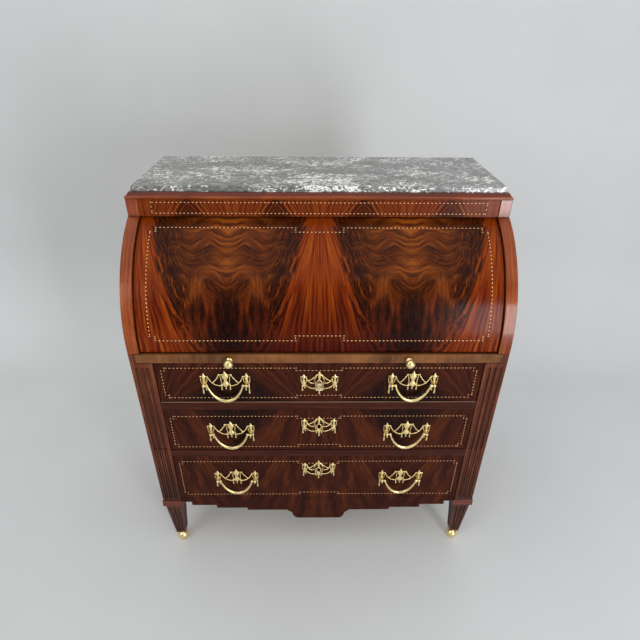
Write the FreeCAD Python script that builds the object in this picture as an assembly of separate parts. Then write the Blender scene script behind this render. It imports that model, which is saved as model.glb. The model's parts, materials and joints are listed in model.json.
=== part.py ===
import FreeCAD, Part
import math
import os
from collections import namedtuple

# A cylinder bureau: a chest of three drawers on tapered legs, a writing slide above them, and a
# quarter-round fall that rolls up behind the frieze when the slide is pulled. All sizes are in
# millimetres. While the pieces are drawn, y runs back from the front face of the corner posts.

V = FreeCAD.Vector

# Body over the corner posts, and the round of the cylinder
WIDTH = 990.0
CHEEK_RADIUS = 326.0
CHEEK_ARC = 64.25
BACK_ROOM = 196.0

# Brass feet, tapered legs, collars and corner posts
FOOT_BALL = 36.0
FOOT_FLAT_CUT = 1.0
FOOT_NECK = 16.0
FOOT_FLANGE = 26.0
FOOT_FLANGE_THICK = 4.0
FOOT_HEIGHT = 44.0
LEG_HEIGHT = 155.0
LEG_TOP = 52.0
LEG_TOE = 30.0
COLLAR_HEIGHT = 26.0
COLLAR_PROUD = 2.5
POST = 58.0
POST_EAR = 16.0

# Rounding of the arrises that show: drawer fronts, then rails, posts and the other front pieces
FRONT_ARRIS = 1.0
ARRIS = 1.5
TOUCH = 0.01

# Three flutes on each face, with reeds standing in the lower ends of those on the posts
FLUTES = 3
FLUTE_PITCH = 14.8
FLUTE_RADIUS = 4.2
FLUTE_MARGIN = 17.0
REED_RADIUS = 3.0
SEAM_TURN = -45.0
LEG_FLUTE_PITCH_TOP = 13.0
LEG_FLUTE_PITCH_TOE = 7.5
LEG_FLUTE_RADIUS = 2.7
LEG_FLUTE_MARGIN = 14.0

# Boards of the lower body
SIDE_THICK = 18.0
PARTITION_THICK = 8.5
BACK_THICK = 12.0
BACK_INSET = 2.0
BOTTOM_THICK = 8.0
DUST_THICK = 6.0
BED_THICK = 8.0
RUNNER_WIDTH = 38.5
RUNNER_HEIGHT = 12.0
APRON_THICK = 18.0
APRON_INSET = 3.0
APRON_TOP_RISE = 9.0

# Lower edge of the apron: how far it hangs, and where its steps lie in from each end
APRON_DROP = 101.0
APRON_DROP_HALF = 68.0
APRON_OGEE_RUN = 31.0
APRON_OGEE_DROP = 64.0
APRON_STEPS = ((207.0, 60.0), (109.0, 49.0), (31.0, 35.0), (0.0, 19.0))

# Drawers from the lowest up: opening, rail above, set-back of the front, height of the handle
# plates' middle and of the keyhole above the bottom of the opening
Drawer = namedtuple("Drawer", "name opening rail set_back plate_rise key_rise")
DRAWERS = (
    Drawer("lower_drawer", 190.0, 25.0, 2.0, 112.0, 133.0),
    Drawer("middle_drawer", 158.0, 26.0, 2.0, 93.0, 97.0),
    Drawer("upper_drawer", 134.0, 0.0, 4.0, 86.0, 69.0),
)
FIRST_OPENING_RISE = 10.0
FRONT_THICK = 20.0
FRONT_GAP = 1.0
BOX_SIDE = 12.0
BOX_BACK = 10.0
BOX_BOTTOM = 6.0
BOX_BOTTOM_RISE = 8.0
BOX_TOP_DROP = 14.0
BOX_CLEARANCE = 1.5
BOX_END_ROOM = 18.0
RUNNING_GAP = 0.5

# Writing slide
SLIDE_LIP_HEIGHT = 27.0
SLIDE_LIP_DEPTH = 22.0
SLIDE_LIP_END_GAP = 0.5
SLIDE_THICK = 22.0
SLIDE_BED_GAP = 0.3
SLIDE_OVER_GAP = 2.6
SLIDE_END_ROOM = 4.0
LEATHER_THICK = 1.2
LEATHER_RECESS = 1.5
LEATHER_SIDE_MARGIN = 48.0
LEATHER_FRONT_MARGIN = 28.0
LEATHER_LENGTH = 360.0
GUIDE_HEIGHT = 20.0
GUIDE_GAP = 1.5
GUIDE_START = 30.0
KNOB_SPACING = 470.0
KNOB_BELOW_MIDDLE = 4.0

# Turned profile of a slide knob: radius and height above the slide's edge
KNOB_PROFILE = ((0.0, 0.0), (8.0, 0.0), (8.0, 1.5), (5.6, 3.5), (3.5, 5.0), (3.5, 10.0), (9.0, 12.0),
                (12.6, 16.0), (12.6, 20.0), (10.0, 24.0), (5.0, 26.4), (0.0, 27.0))

# Upper body
CHEEK_THICK = 30.0
PIVOT_RISE = 9.0
FALL_SET_BACK = 9.0
FALL_THICK = 16.0
FALL_END_GAP = 2.0
FALL_SILL_GAP = 1.5
FALL_TOP_ANGLE = 70.0
FALL_BACK_GAP = 6.0
FRIEZE_HEIGHT = 46.0
FRIEZE_THICK = 11.0
FRIEZE_SET_BACK = 8.5
BLOCK_PROUD = 3.0
BLOCK_DEPTH = 30.0
CORNICE_HEIGHT = 16.0
CORNICE_WIDTH = 24.0
CORNICE_PROUD = 3.5
CORNICE_SIDE_INSET = 4.0
CORNICE_NOSE = 9.0
MARBLE_THICK = 14.5
MARBLE_INSET = 16.0
MARBLE_EDGE_ROUND = 2.5

# Levers that roll the fall up as the slide comes out
LEVER_THICK = 6.0
LEVER_WIDTH = 25.0
LEVER_HUB = 28.0
LEVER_ROOM = 5.5
LEVER_ARM_ANGLE = 33.0
STRAP_HALF_ANGLE = 22.0
STRAP_THICK = 3.0
STRAP_WIDTH = 21.0
STRAP_GAP = 0.15
STUD = 8.0
SLOT_SLACK = 2.4
BRACKET_THICK = 3.0
BRACKET_WIDTH = 30.0
LEVER_GAP = 2.0
PIVOT_PIN = 12.0
PIVOT_PLATE_THICK = 3.5
PIVOT_PLATE_WIDTH = 40.0
PIVOT_PLATE_BELOW = 13.0
PIVOT_PLATE_ABOVE = 45.0
PIVOT_COLLAR = 18.0
PIVOT_FIT = 0.1
LEVER_WELL = 70.0

# Nest of small drawers and pigeonholes behind the writing surface
NEST_BOARD = 8.0
NEST_FRONT_ROOM = 36.0
NEST_SIDE_GAP = 3.0
NEST_SWEEP_GAP = 16.0
NEST_BACK_THICK = 6.0
NEST_DRAWER_HEIGHT = 66.0
NEST_DRAWERS = ("left", "middle", "right")
NEST_PIGEONHOLES = 4
NEST_DRAWER_GAP = 0.7
NEST_DRAWER_WALL = 7.0
NEST_DRAWER_FLOOR = 4.0

# Turned profile of a small drawer's knob
NEST_KNOB_PROFILE = ((0.0, 0.0), (4.8, 0.0), (4.8, 1.0), (3.0, 2.5), (3.0, 6.0), (6.0, 8.5), (6.0, 11.0),
                     (3.6, 13.4), (0.0, 14.0))

# Brass handles, escutcheons, locks and the key
HANDLE_SPACING = 504.0
BAIL_HALF_SPAN = 57.0
BAIL_TOP_HALF = 51.0
BAIL_BELOW = 18.0
BAIL_DROP = 59.0
BAIL_SLOPE = 0.55
BAIL_MIDDLE_WIDTH = 11.0
BAIL_END_WIDTH = 6.0
BAIL_THICK = 7.0
BAIL_STAND_OFF = 14.0
BAIL_PIN = 4.0
BAIL_FIT = 0.1
BAIL_EYE = 7.0
BAIL_POST = 9.0
PLATE_THICK = 2.5
END_PLAQUE = (8.0, 26.0)
END_PLAQUE_BELOW = 10.0
MIDDLE_PLAQUE = (15.0, 20.0)
ESCUTCHEON_PLAQUE = (13.0, 34.0)
ESCUTCHEON_END = (7.0, 18.0)
ESCUTCHEON_HALF_SPAN = 44.0
ROPE = 4.0
ROPE_LAP_MIDDLE = 6.0
ROPE_LAP_END = 5.0

# Draped ropes of a brass plate: rise at the middle plaque, sag halfway, rise at the end plaque
ROPES = ((4.0, 9.0, 4.0), (12.0, 1.0, 4.0))
KEYHOLE = 7.0
KEYHOLE_SLOT = 4.0
KEYHOLE_SLOT_DROP = 11.0
LOCK_WIDTH = 56.0
LOCK_DEPTH = 14.0
LOCK_BELOW_KEY = 24.0
LOCK_WALL = 3.0
LOCK_CHAMBER = 24.0
BOLT_WIDTH = 20.0
BOLT_DEPTH = 6.0
BOLT_FIT = 0.3
KEY_SHAFT = 5.5
KEY_BOW = (13.5, 10.0)
KEY_BOW_THICK = 3.0
KEY_BOW_HOLE = 6.0
KEY_SHAFT_LAP = 2.0
KEY_BIT = (9.0, 4.0, 2.0)
KEY_REACH = 32.0

# Plan positions worked out from the sizes above
half = WIDTH / 2
pivot_y = CHEEK_RADIUS
depth = pivot_y + BACK_ROOM
back_y = depth - BACK_INSET - BACK_THICK
mid_depth = (depth + COLLAR_PROUD - KEY_REACH) / 2
opening_half = half - POST
cheek_in = half - CHEEK_THICK
lever_out = cheek_in - PIVOT_PLATE_THICK - LEVER_GAP
lever_in = lever_out - LEVER_THICK
bracket_out = lever_in - LEVER_GAP
slide_half = bracket_out - BRACKET_THICK
partition_out = slide_half - FRONT_GAP
partition_in = partition_out - PARTITION_THICK
box_half = min(opening_half, partition_in) - BOX_CLEARANCE
rear_post_y = depth - POST
slide_end_y = rear_post_y - SLIDE_END_ROOM

# Levels worked out from the sizes above
leg_top_z = FOOT_HEIGHT + LEG_HEIGHT
base_z = leg_top_z + COLLAR_HEIGHT
apron_top_z = base_z + APRON_TOP_RISE
body_bottom_z = apron_top_z - APRON_STEPS[-1][1]
floor_z = base_z + FIRST_OPENING_RISE
slide_lip_z = floor_z + sum(d.opening + d.rail for d in DRAWERS) + FRONT_GAP
slide_top_z = slide_lip_z + SLIDE_LIP_HEIGHT
slide_under_z = slide_top_z - SLIDE_THICK
partition_top_z = slide_under_z - SLIDE_BED_GAP
post_top_z = slide_lip_z - FRONT_GAP
body_top_z = slide_top_z + SLIDE_OVER_GAP
pivot_z = slide_top_z + PIVOT_RISE
frieze_z = pivot_z + CHEEK_RADIUS * math.sin(math.radians(CHEEK_ARC))
frieze_top_z = frieze_z + FRIEZE_HEIGHT
cornice_top_z = frieze_top_z + CORNICE_HEIGHT

# The fall, how far it rolls, and how far that draws the slide
fall_out_r = CHEEK_RADIUS - FALL_SET_BACK
fall_in_r = fall_out_r - FALL_THICK
fall_sill_angle = math.degrees(math.asin((slide_top_z + FALL_SILL_GAP - pivot_z) / fall_out_r))
fall_back_angle = math.degrees(math.acos((pivot_y - back_y + FALL_BACK_GAP) / fall_out_r))
fall_travel = fall_back_angle - FALL_TOP_ANGLE

# The lever's tail is as long as the room in front of the rear post lets it be
tail_swing = rear_post_y - LEVER_ROOM - BRACKET_WIDTH / 2 - pivot_y
lever_tail = tail_swing / math.sin(math.radians(fall_travel / 2))
slide_travel = 2 * tail_swing

cheek_top_y = pivot_y - CHEEK_RADIUS * math.cos(math.radians(CHEEK_ARC))
frieze_y = cheek_top_y + FRIEZE_SET_BACK
block_y = frieze_y - BLOCK_PROUD
cornice_y = block_y - CORNICE_PROUD
cornice_half = half - CORNICE_SIDE_INSET
marble_y = cornice_y + MARBLE_INSET


def box(x0, x1, y0, y1, z0, z1):
    """Rectangular board between two corners."""
    return Part.makeBox(x1 - x0, y1 - y0, z1 - z0, V(x0, y0, z0))


def mirrored(solid):
    """The same piece on the other side of the middle."""
    return solid.mirror(V(0, 0, 0), V(1, 0, 0))


def both_sides(solid):
    """A right-hand piece and its left-hand twin."""
    return [solid, mirrored(solid)]


def face_of(*curves):
    """Flat face inside a closed run of lines and arcs."""
    return Part.Face(Part.Wire([curve.toShape() for curve in curves]))


def eased(solid, radius, chosen):
    """The same piece with the edges that pass a test rounded."""
    return solid.makeFillet(radius, [edge for edge in solid.Edges if chosen(edge)])


def on_front(y, upright=True, level=True):
    """Test for straight edges in the plane at y, by the way they run."""
    def chosen(edge):
        first, last = edge.Vertexes[0].Point, edge.Vertexes[-1].Point
        in_plane = abs(first.y - y) < TOUCH and abs(last.y - y) < TOUCH
        runs_up = abs(first.z - last.z) > TOUCH
        return in_plane and (upright if runs_up else level)
    return chosen


def polygon(points):
    """Flat face with straight sides."""
    return Part.Face(Part.makePolygon(list(points) + [points[0]]))


def rod(start, end, radius):
    """Round rod with domed ends, its seam turned a half quarter away from the faces it meets."""
    length = (end - start).Length
    lean = radius * math.sqrt(0.5)
    profile = face_of(
        Part.Arc(V(0, 0, -radius), V(lean, 0, -lean), V(radius, 0, 0)),
        Part.LineSegment(V(radius, 0, 0), V(radius, 0, length)),
        Part.Arc(V(radius, 0, length), V(lean, 0, length + lean), V(0, 0, length + radius)),
        Part.LineSegment(V(0, 0, length + radius), V(0, 0, -radius)),
    )
    solid = profile.revolve(V(0, 0, 0), V(0, 0, 1), 360)
    lean_over = FreeCAD.Rotation(V(0, 0, 1), end - start)
    solid.Placement = FreeCAD.Placement(start, lean_over * FreeCAD.Rotation(V(0, 0, 1), SEAM_TURN))
    return solid


def turned(points, base, axis):
    """Turned piece from (radius, height) points, standing on base along axis."""
    profile = polygon([V(r, 0, h) for r, h in points])
    solid = profile.revolve(V(0, 0, 0), V(0, 0, 1), 360)
    solid.Placement = FreeCAD.Placement(base, FreeCAD.Rotation(V(0, 0, 1), axis))
    return solid


def on_round(radius, angle, x):
    """Point at a radius about the pivot line, turned up from the front by angle."""
    turn = math.radians(angle)
    return V(x, pivot_y - radius * math.cos(turn), pivot_z + radius * math.sin(turn))


def round_strip(r0, r1, a0, a1, x0, x1):
    """Bent board between two radii and two angles about the pivot line."""
    middle = (a0 + a1) / 2
    profile = face_of(
        Part.Arc(on_round(r1, a0, x0), on_round(r1, middle, x0), on_round(r1, a1, x0)),
        Part.LineSegment(on_round(r1, a1, x0), on_round(r0, a1, x0)),
        Part.Arc(on_round(r0, a1, x0), on_round(r0, middle, x0), on_round(r0, a0, x0)),
        Part.LineSegment(on_round(r0, a0, x0), on_round(r1, a0, x0)),
    )
    return profile.extrude(V(x1 - x0, 0, 0))


def bar(start, end, width, thick):
    """Flat bar with round ends, lying square to X and thick towards +X."""
    along = (end - start).normalize()
    across = V(0, -along.z, along.y) * (width / 2)
    plate = polygon([start + across, end + across, end - across, start - across])
    ends = [Part.makeCylinder(width / 2, thick, point, V(1, 0, 0)) for point in (start, end)]
    return plate.extrude(V(thick, 0, 0)).multiFuse(ends).removeSplitter()


def oval(half_size, y, thick, x=0.0, z=0.0):
    """Upright oval plaque standing forward of the plane at y."""
    half_x, half_z = half_size
    upright = FreeCAD.Rotation(V(0, 0, 1), V(0, -1, 0))
    if half_z > half_x:
        upright = FreeCAD.Rotation(V(0, -1, 0), 90) * upright
    edge = Part.Ellipse(V(0, 0, 0), max(half_size), min(half_size)).toShape()
    edge.Placement = FreeCAD.Placement(V(x, y, z), upright)
    return Part.Face(Part.Wire([edge])).extrude(V(0, -thick, 0))


def rope(start, middle, end, thick):
    """Round cord bent through three points."""
    arc = Part.Arc(start, middle, end).toShape()
    direction = arc.tangentAt(arc.FirstParameter)
    ring = Part.Wire([Part.makeCircle(thick / 2, start, direction)])
    return Part.Wire([arc]).makePipeShell([ring], True, False)


def save(node, *solids):
    """Write one node, with the origin moved to the middle of the footprint."""
    shape = solids[0].copy() if len(solids) == 1 else Part.makeCompound(solids)
    shape.translate(V(0, -mid_depth, 0))
    shape.exportStep(f"parts/{node}.step")


def foot(x, y):
    """Turned brass ball foot under a flange, flattened where it stands."""
    radius = FOOT_BALL / 2
    centre = V(x, y, radius - FOOT_FLAT_CUT)
    ball = Part.makeSphere(radius, centre).cut(box(x - radius, x + radius, y - radius, y + radius,
                                                   -FOOT_FLAT_CUT, 0))
    flange_z = FOOT_HEIGHT - FOOT_FLANGE_THICK
    neck = Part.makeCylinder(FOOT_NECK / 2, flange_z - centre.z, centre)
    flange = Part.makeCylinder(FOOT_FLANGE / 2, FOOT_FLANGE_THICK, V(x, y, flange_z))
    return ball.multiFuse([neck, flange]).removeSplitter()


def leg(x, y):
    """Tapered square leg, fluted on its four faces."""
    toe, top = LEG_TOE / 2, LEG_TOP / 2
    solid = Part.makeWedge(-toe, FOOT_HEIGHT, -toe, -top, -top, toe, leg_top_z, toe, top, top)
    solid.rotate(V(0, 0, 0), V(1, 0, 0), 90)
    low, high = FOOT_HEIGHT + LEG_FLUTE_MARGIN, leg_top_z - LEG_FLUTE_MARGIN

    def on_face(place, z):
        share = (z - FOOT_HEIGHT) / LEG_HEIGHT
        pitch = LEG_FLUTE_PITCH_TOE + (LEG_FLUTE_PITCH_TOP - LEG_FLUTE_PITCH_TOE) * share
        return V(place * pitch, -(LEG_TOE + (LEG_TOP - LEG_TOE) * share) / 2, z)

    places = [i - (FLUTES - 1) / 2 for i in range(FLUTES)]
    grooves = []
    for place in places:
        groove = rod(on_face(place, low), on_face(place, high), LEG_FLUTE_RADIUS)
        for quarter in range(4):
            turned_groove = groove.copy()
            turned_groove.rotate(V(0, 0, 0), V(0, 0, 1), 90 * quarter)
            grooves.append(turned_groove)
    solid = solid.cut(grooves)
    solid.translate(V(x, y, 0))
    return solid


def collar(x, y, boards):
    """Square collar between leg and post, with eased edges, scribed round the boards it meets."""
    s = POST / 2 + COLLAR_PROUD
    block = box(x - s, x + s, y - s, y + s, leg_top_z, base_z)
    level_edges = [e for e in block.Edges if abs(e.Vertexes[0].Z - e.Vertexes[-1].Z) < COLLAR_HEIGHT / 2]
    return block.makeFillet(COLLAR_PROUD, level_edges).cut(boards)


def front_post():
    """Right-hand front post: fluted and reeded, and let down for the writing slide."""
    post = box(opening_half, half, 0, POST, base_z, post_top_z)
    post = post.fuse(box(half - POST_EAR, half, 0, POST, post_top_z, body_top_z)).removeSplitter()
    post = eased(post, ARRIS, on_front(0, level=False))
    low, high = base_z + FLUTE_MARGIN, post_top_z - FLUTE_MARGIN
    reed_top = floor_z + DRAWERS[0].opening + DRAWERS[0].rail
    grooves, reeds = [], []
    for i in range(FLUTES):
        shift = (i - (FLUTES - 1) / 2) * FLUTE_PITCH
        front = V(half - POST / 2 + shift, 0, 0)
        side = V(half, POST / 2 + shift, 0)
        for foot_point, inward in ((front, V(0, 1, 0)), (side, V(-1, 0, 0))):
            deep = foot_point + inward * REED_RADIUS
            grooves.append(rod(foot_point + V(0, 0, low), foot_point + V(0, 0, high), FLUTE_RADIUS))
            reeds.append(rod(deep + V(0, 0, low), deep + V(0, 0, reed_top), REED_RADIUS))
    return post.cut(grooves).multiFuse(reeds)


def apron():
    """Front apron with a middle drop, ogee shoulders and stepped ends."""
    y = APRON_INSET
    low = apron_top_z - APRON_DROP
    ogee_x = APRON_DROP_HALF + APRON_OGEE_RUN
    ogee_z = apron_top_z - APRON_OGEE_DROP
    turn_x, turn_z = (APRON_DROP_HALF + ogee_x) / 2, (low + ogee_z) / 2
    bow = APRON_OGEE_RUN / 13
    curves = [
        Part.LineSegment(V(0, y, apron_top_z), V(0, y, low)),
        Part.LineSegment(V(0, y, low), V(APRON_DROP_HALF, y, low)),
        Part.Arc(V(APRON_DROP_HALF, y, low),
                 V((APRON_DROP_HALF + turn_x) / 2 + bow, y, (low + turn_z) / 2 - bow), V(turn_x, y, turn_z)),
        Part.Arc(V(turn_x, y, turn_z),
                 V((turn_x + ogee_x) / 2 - bow, y, (turn_z + ogee_z) / 2 + bow), V(ogee_x, y, ogee_z)),
    ]
    corner = V(ogee_x, y, ogee_z)
    for from_end, drop in APRON_STEPS:
        rise = V(corner.x, y, apron_top_z - drop)
        run = V(opening_half - from_end, y, apron_top_z - drop)
        curves += [Part.LineSegment(corner, rise), Part.LineSegment(rise, run)]
        corner = run
    top = V(opening_half, y, apron_top_z)
    curves += [Part.LineSegment(corner, top), Part.LineSegment(top, V(0, y, apron_top_z))]
    right = face_of(*curves).extrude(V(0, APRON_THICK, 0))
    return right.fuse(mirrored(right)).removeSplitter()


def cheek():
    """Right-hand cheek: the quarter-round board that shows at the end of the fall."""
    x = cheek_in
    start_y = pivot_y - math.sqrt(CHEEK_RADIUS ** 2 - (body_top_z - pivot_z) ** 2)
    start, top = V(x, start_y, body_top_z), V(x, cheek_top_y, frieze_z)
    corners = [top, V(x, block_y + BLOCK_DEPTH, frieze_z), V(x, block_y + BLOCK_DEPTH, frieze_top_z),
               V(x, depth, frieze_top_z), V(x, depth, body_top_z), start]
    lines = [Part.LineSegment(a, b) for a, b in zip(corners, corners[1:])]
    arc = Part.Arc(start, on_round(CHEEK_RADIUS, CHEEK_ARC / 2, x), top)
    board = face_of(arc, *lines).extrude(V(CHEEK_THICK, 0, 0))
    return eased(board, ARRIS, lambda edge: edge.Curve.TypeId == "Part::GeomCircle")


def cornice_profile(origin, outward):
    """Section of the top moulding: a bullnose below a sloping shoulder, facing outward."""
    def at(out, up):
        return origin + outward * out + V(0, 0, up)

    inner = CORNICE_PROUD - CORNICE_WIDTH
    nose_back = CORNICE_PROUD - CORNICE_NOSE / 2
    return face_of(
        Part.LineSegment(at(inner, 0), at(nose_back, 0)),
        Part.Arc(at(nose_back, 0), at(CORNICE_PROUD, CORNICE_NOSE / 2), at(nose_back, CORNICE_NOSE)),
        Part.LineSegment(at(nose_back, CORNICE_NOSE), at(CORNICE_PROUD - CORNICE_NOSE, CORNICE_HEIGHT)),
        Part.LineSegment(at(CORNICE_PROUD - CORNICE_NOSE, CORNICE_HEIGHT), at(inner, CORNICE_HEIGHT)),
        Part.LineSegment(at(inner, CORNICE_HEIGHT), at(inner, 0)),
    )


def mitre(sign):
    """Wedge that holds everything on the front side of the mitre at one corner."""
    reach = 2 * WIDTH
    corner = V(sign * cornice_half, block_y, frieze_top_z - CORNICE_HEIGHT)
    points = [corner + V(sign * reach, -reach, 0), corner + V(-sign * reach, reach, 0),
              corner + V(-sign * 3 * reach, -reach, 0)]
    return polygon(points).extrude(V(0, 0, 3 * CORNICE_HEIGHT))


def cornice():
    """Front and right-hand lengths of the top moulding, mitred at the corner."""
    stretch = cornice_half + CORNICE_PROUD
    front = cornice_profile(V(-stretch, block_y, frieze_top_z), V(0, -1, 0)).extrude(V(2 * stretch, 0, 0))
    front = front.common(mitre(1)).common(mitre(-1))
    side = cornice_profile(V(cornice_half, block_y - CORNICE_PROUD, frieze_top_z), V(1, 0, 0))
    side = side.extrude(V(0, depth - block_y + CORNICE_PROUD, 0)).cut(mitre(1))
    return front, side


def marble():
    """Marble slab with an eased upper edge."""
    reach = half - MARBLE_INSET
    slab = box(-reach, reach, marble_y, depth, cornice_top_z, cornice_top_z + MARBLE_THICK)
    upper = [e for e in slab.Edges if min(v.Z for v in e.Vertexes) > cornice_top_z + MARBLE_THICK / 2]
    return slab.makeFillet(MARBLE_EDGE_ROUND, upper)


def tail_end(angle):
    """Place of the lever's lower end, swung forward of straight down by angle."""
    turn = math.radians(angle)
    return V(lever_in, pivot_y - lever_tail * math.sin(turn), pivot_z - lever_tail * math.cos(turn))


def lever():
    """Right-hand iron lever: hub, arm and strap to the fall, and a tail with its stud."""
    hub_point = V(lever_in, pivot_y, pivot_z)
    stud_point = tail_end(-fall_travel / 2)
    strap_out = fall_in_r - STRAP_GAP
    strap = round_strip(strap_out - STRAP_THICK, strap_out, LEVER_ARM_ANGLE - STRAP_HALF_ANGLE,
                        LEVER_ARM_ANGLE + STRAP_HALF_ANGLE, lever_out - STRAP_WIDTH, lever_out)
    arm_reach = strap_out - STRAP_THICK - LEVER_WIDTH / 2
    arm = bar(hub_point, on_round(arm_reach, LEVER_ARM_ANGLE, lever_in), LEVER_WIDTH, LEVER_THICK)
    web = round_strip(arm_reach, strap_out - STRAP_THICK / 2, LEVER_ARM_ANGLE - STRAP_HALF_ANGLE / 2,
                      LEVER_ARM_ANGLE + STRAP_HALF_ANGLE / 2, lever_in, lever_out)
    tail = bar(hub_point, stud_point, LEVER_WIDTH, LEVER_THICK)
    hub = Part.makeCylinder(LEVER_HUB / 2, LEVER_THICK, hub_point, V(1, 0, 0))
    stud_length = lever_in - partition_out - RUNNING_GAP
    stud = Part.makeCylinder(STUD / 2, stud_length, stud_point, V(-1, 0, 0))
    solid = tail.multiFuse([arm, web, strap, hub, stud]).removeSplitter()
    bore = Part.makeCylinder(PIVOT_PIN / 2 + PIVOT_FIT, LEVER_THICK, hub_point, V(1, 0, 0))
    return solid.cut(bore)


def pivot():
    """Right-hand pivot: a plate on the cheek with its pin and shoulder."""
    plate = box(cheek_in - PIVOT_PLATE_THICK, cheek_in, pivot_y - PIVOT_PLATE_WIDTH / 2,
                pivot_y + PIVOT_PLATE_WIDTH / 2, pivot_z - PIVOT_PLATE_BELOW, pivot_z + PIVOT_PLATE_ABOVE)
    start = V(cheek_in - PIVOT_PLATE_THICK, pivot_y, pivot_z)
    pin = Part.makeCylinder(PIVOT_PIN / 2, LEVER_GAP + LEVER_THICK, start, V(-1, 0, 0))
    shoulder = Part.makeCylinder(PIVOT_COLLAR / 2, LEVER_GAP - RUNNING_GAP, start, V(-1, 0, 0))
    return plate.multiFuse([pin, shoulder]).removeSplitter()


def bracket():
    """Right-hand slotted plate that hangs from the slide and takes the lever's stud."""
    stud_point = tail_end(-fall_travel / 2)
    lowest = pivot_z - lever_tail
    slot_half = STUD / 2 + SLOT_SLACK
    plate = box(slide_half, bracket_out, stud_point.y - BRACKET_WIDTH / 2, stud_point.y + BRACKET_WIDTH / 2,
                lowest - BRACKET_WIDTH / 2, slide_top_z - LEATHER_RECESS)
    slot = box(slide_half, bracket_out, stud_point.y - slot_half, stud_point.y + slot_half,
               lowest - slot_half, stud_point.z + slot_half)
    return plate.cut(slot)


def slide_board():
    """Writing surface with a sunk bed for its leather."""
    board = box(-slide_half, slide_half, SLIDE_LIP_DEPTH, slide_end_y, slide_under_z, slide_top_z)
    return board.cut(leather_panel(LEATHER_RECESS))


def leather_panel(thick):
    """Block of the leather's outline, from the bottom of its bed upwards."""
    reach = slide_half - LEATHER_SIDE_MARGIN
    start = SLIDE_LIP_DEPTH + LEATHER_FRONT_MARGIN
    return box(-reach, reach, start, start + LEATHER_LENGTH,
               slide_top_z - LEATHER_RECESS, slide_top_z - LEATHER_RECESS + thick)


def slide_knob(x):
    """Turned brass knob on the slide's front edge."""
    z = slide_lip_z + SLIDE_LIP_HEIGHT / 2 - KNOB_BELOW_MIDDLE
    return turned(KNOB_PROFILE, V(x, 0, z), V(0, -1, 0))


def keyhole(y0, y1, z):
    """Keyhole shape that runs from y0 back to y1."""
    hole = Part.makeCylinder(KEYHOLE / 2, y1 - y0, V(0, y0, z), V(0, 1, 0))
    slot = box(-KEYHOLE_SLOT / 2, KEYHOLE_SLOT / 2, y0, y1, z - KEYHOLE_SLOT_DROP, z)
    return hole.fuse(slot).removeSplitter()


def drawer_lock(y, key_z, top_z):
    """Iron lock on the back of a drawer front: its case, and the bolt drawn back inside it."""
    case = box(-LOCK_WIDTH / 2, LOCK_WIDTH / 2, y, y + LOCK_DEPTH, key_z - LOCK_BELOW_KEY, top_z)
    chamber_depth = LOCK_DEPTH - 2 * LOCK_WALL
    chamber = Part.makeCylinder(LOCK_CHAMBER / 2, chamber_depth, V(0, y + LOCK_WALL, key_z), V(0, 1, 0))
    bolt_y = y + (LOCK_DEPTH - BOLT_DEPTH) / 2
    bolt_foot = key_z + LOCK_CHAMBER / 2 + LOCK_WALL
    channel = box(-BOLT_WIDTH / 2 - BOLT_FIT, BOLT_WIDTH / 2 + BOLT_FIT, bolt_y - BOLT_FIT,
                  bolt_y + BOLT_DEPTH + BOLT_FIT, bolt_foot, top_z)
    bolt = box(-BOLT_WIDTH / 2, BOLT_WIDTH / 2, bolt_y, bolt_y + BOLT_DEPTH, bolt_foot, top_z)
    return case.cut([chamber, channel, keyhole(y, y + LOCK_WALL, key_z)]), bolt


def key(y, z):
    """Key in the upper drawer's lock, with its bow lying flat."""
    shaft_end = y + LOCK_DEPTH - LOCK_WALL - RUNNING_GAP
    bow_y = -KEY_REACH + KEY_BOW[1]
    bow = oval(KEY_BOW, 0, KEY_BOW_THICK)
    bow.rotate(V(0, 0, 0), V(1, 0, 0), 90)
    bow.translate(V(0, bow_y, z + KEY_BOW_THICK / 2))
    hole = Part.makeCylinder(KEY_BOW_HOLE / 2, 2 * KEY_BOW_THICK, V(0, bow_y, z - KEY_BOW_THICK))
    shaft_start = bow_y + KEY_BOW[1] - KEY_SHAFT_LAP
    shaft = Part.makeCylinder(KEY_SHAFT / 2, shaft_end - shaft_start, V(0, shaft_start, z), V(0, 1, 0))
    bit_reach, bit_length, bit_thick = KEY_BIT
    bit = box(0, bit_reach, shaft_end - bit_length, shaft_end, z - bit_thick / 2, z + bit_thick / 2)
    return bow.multiFuse([shaft, bit]).removeSplitter().cut(hole)


def garland(x, y, z, plaque, end_plaque, span, end_below=0.0):
    """Brass plate of a middle plaque, two end plaques and the ropes draped between them."""
    pieces = [oval(plaque, y, PLATE_THICK, x, z)]
    rope_y = y - ROPE / 2
    for sign in (1, -1):
        end_x = x + sign * span
        near = x + sign * (plaque[0] - ROPE_LAP_MIDDLE)
        far = end_x - sign * (end_plaque[0] - ROPE_LAP_END)
        pieces.append(oval(end_plaque, y, PLATE_THICK, end_x, z - end_below))
        for near_rise, sag, far_rise in ROPES:
            middle = V((near + far) / 2, rope_y, z - sag)
            pieces.append(rope(V(near, rope_y, z + near_rise), middle, V(far, rope_y, z + far_rise), ROPE))
    return pieces[0].multiFuse(pieces[1:]).removeSplitter()


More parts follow.
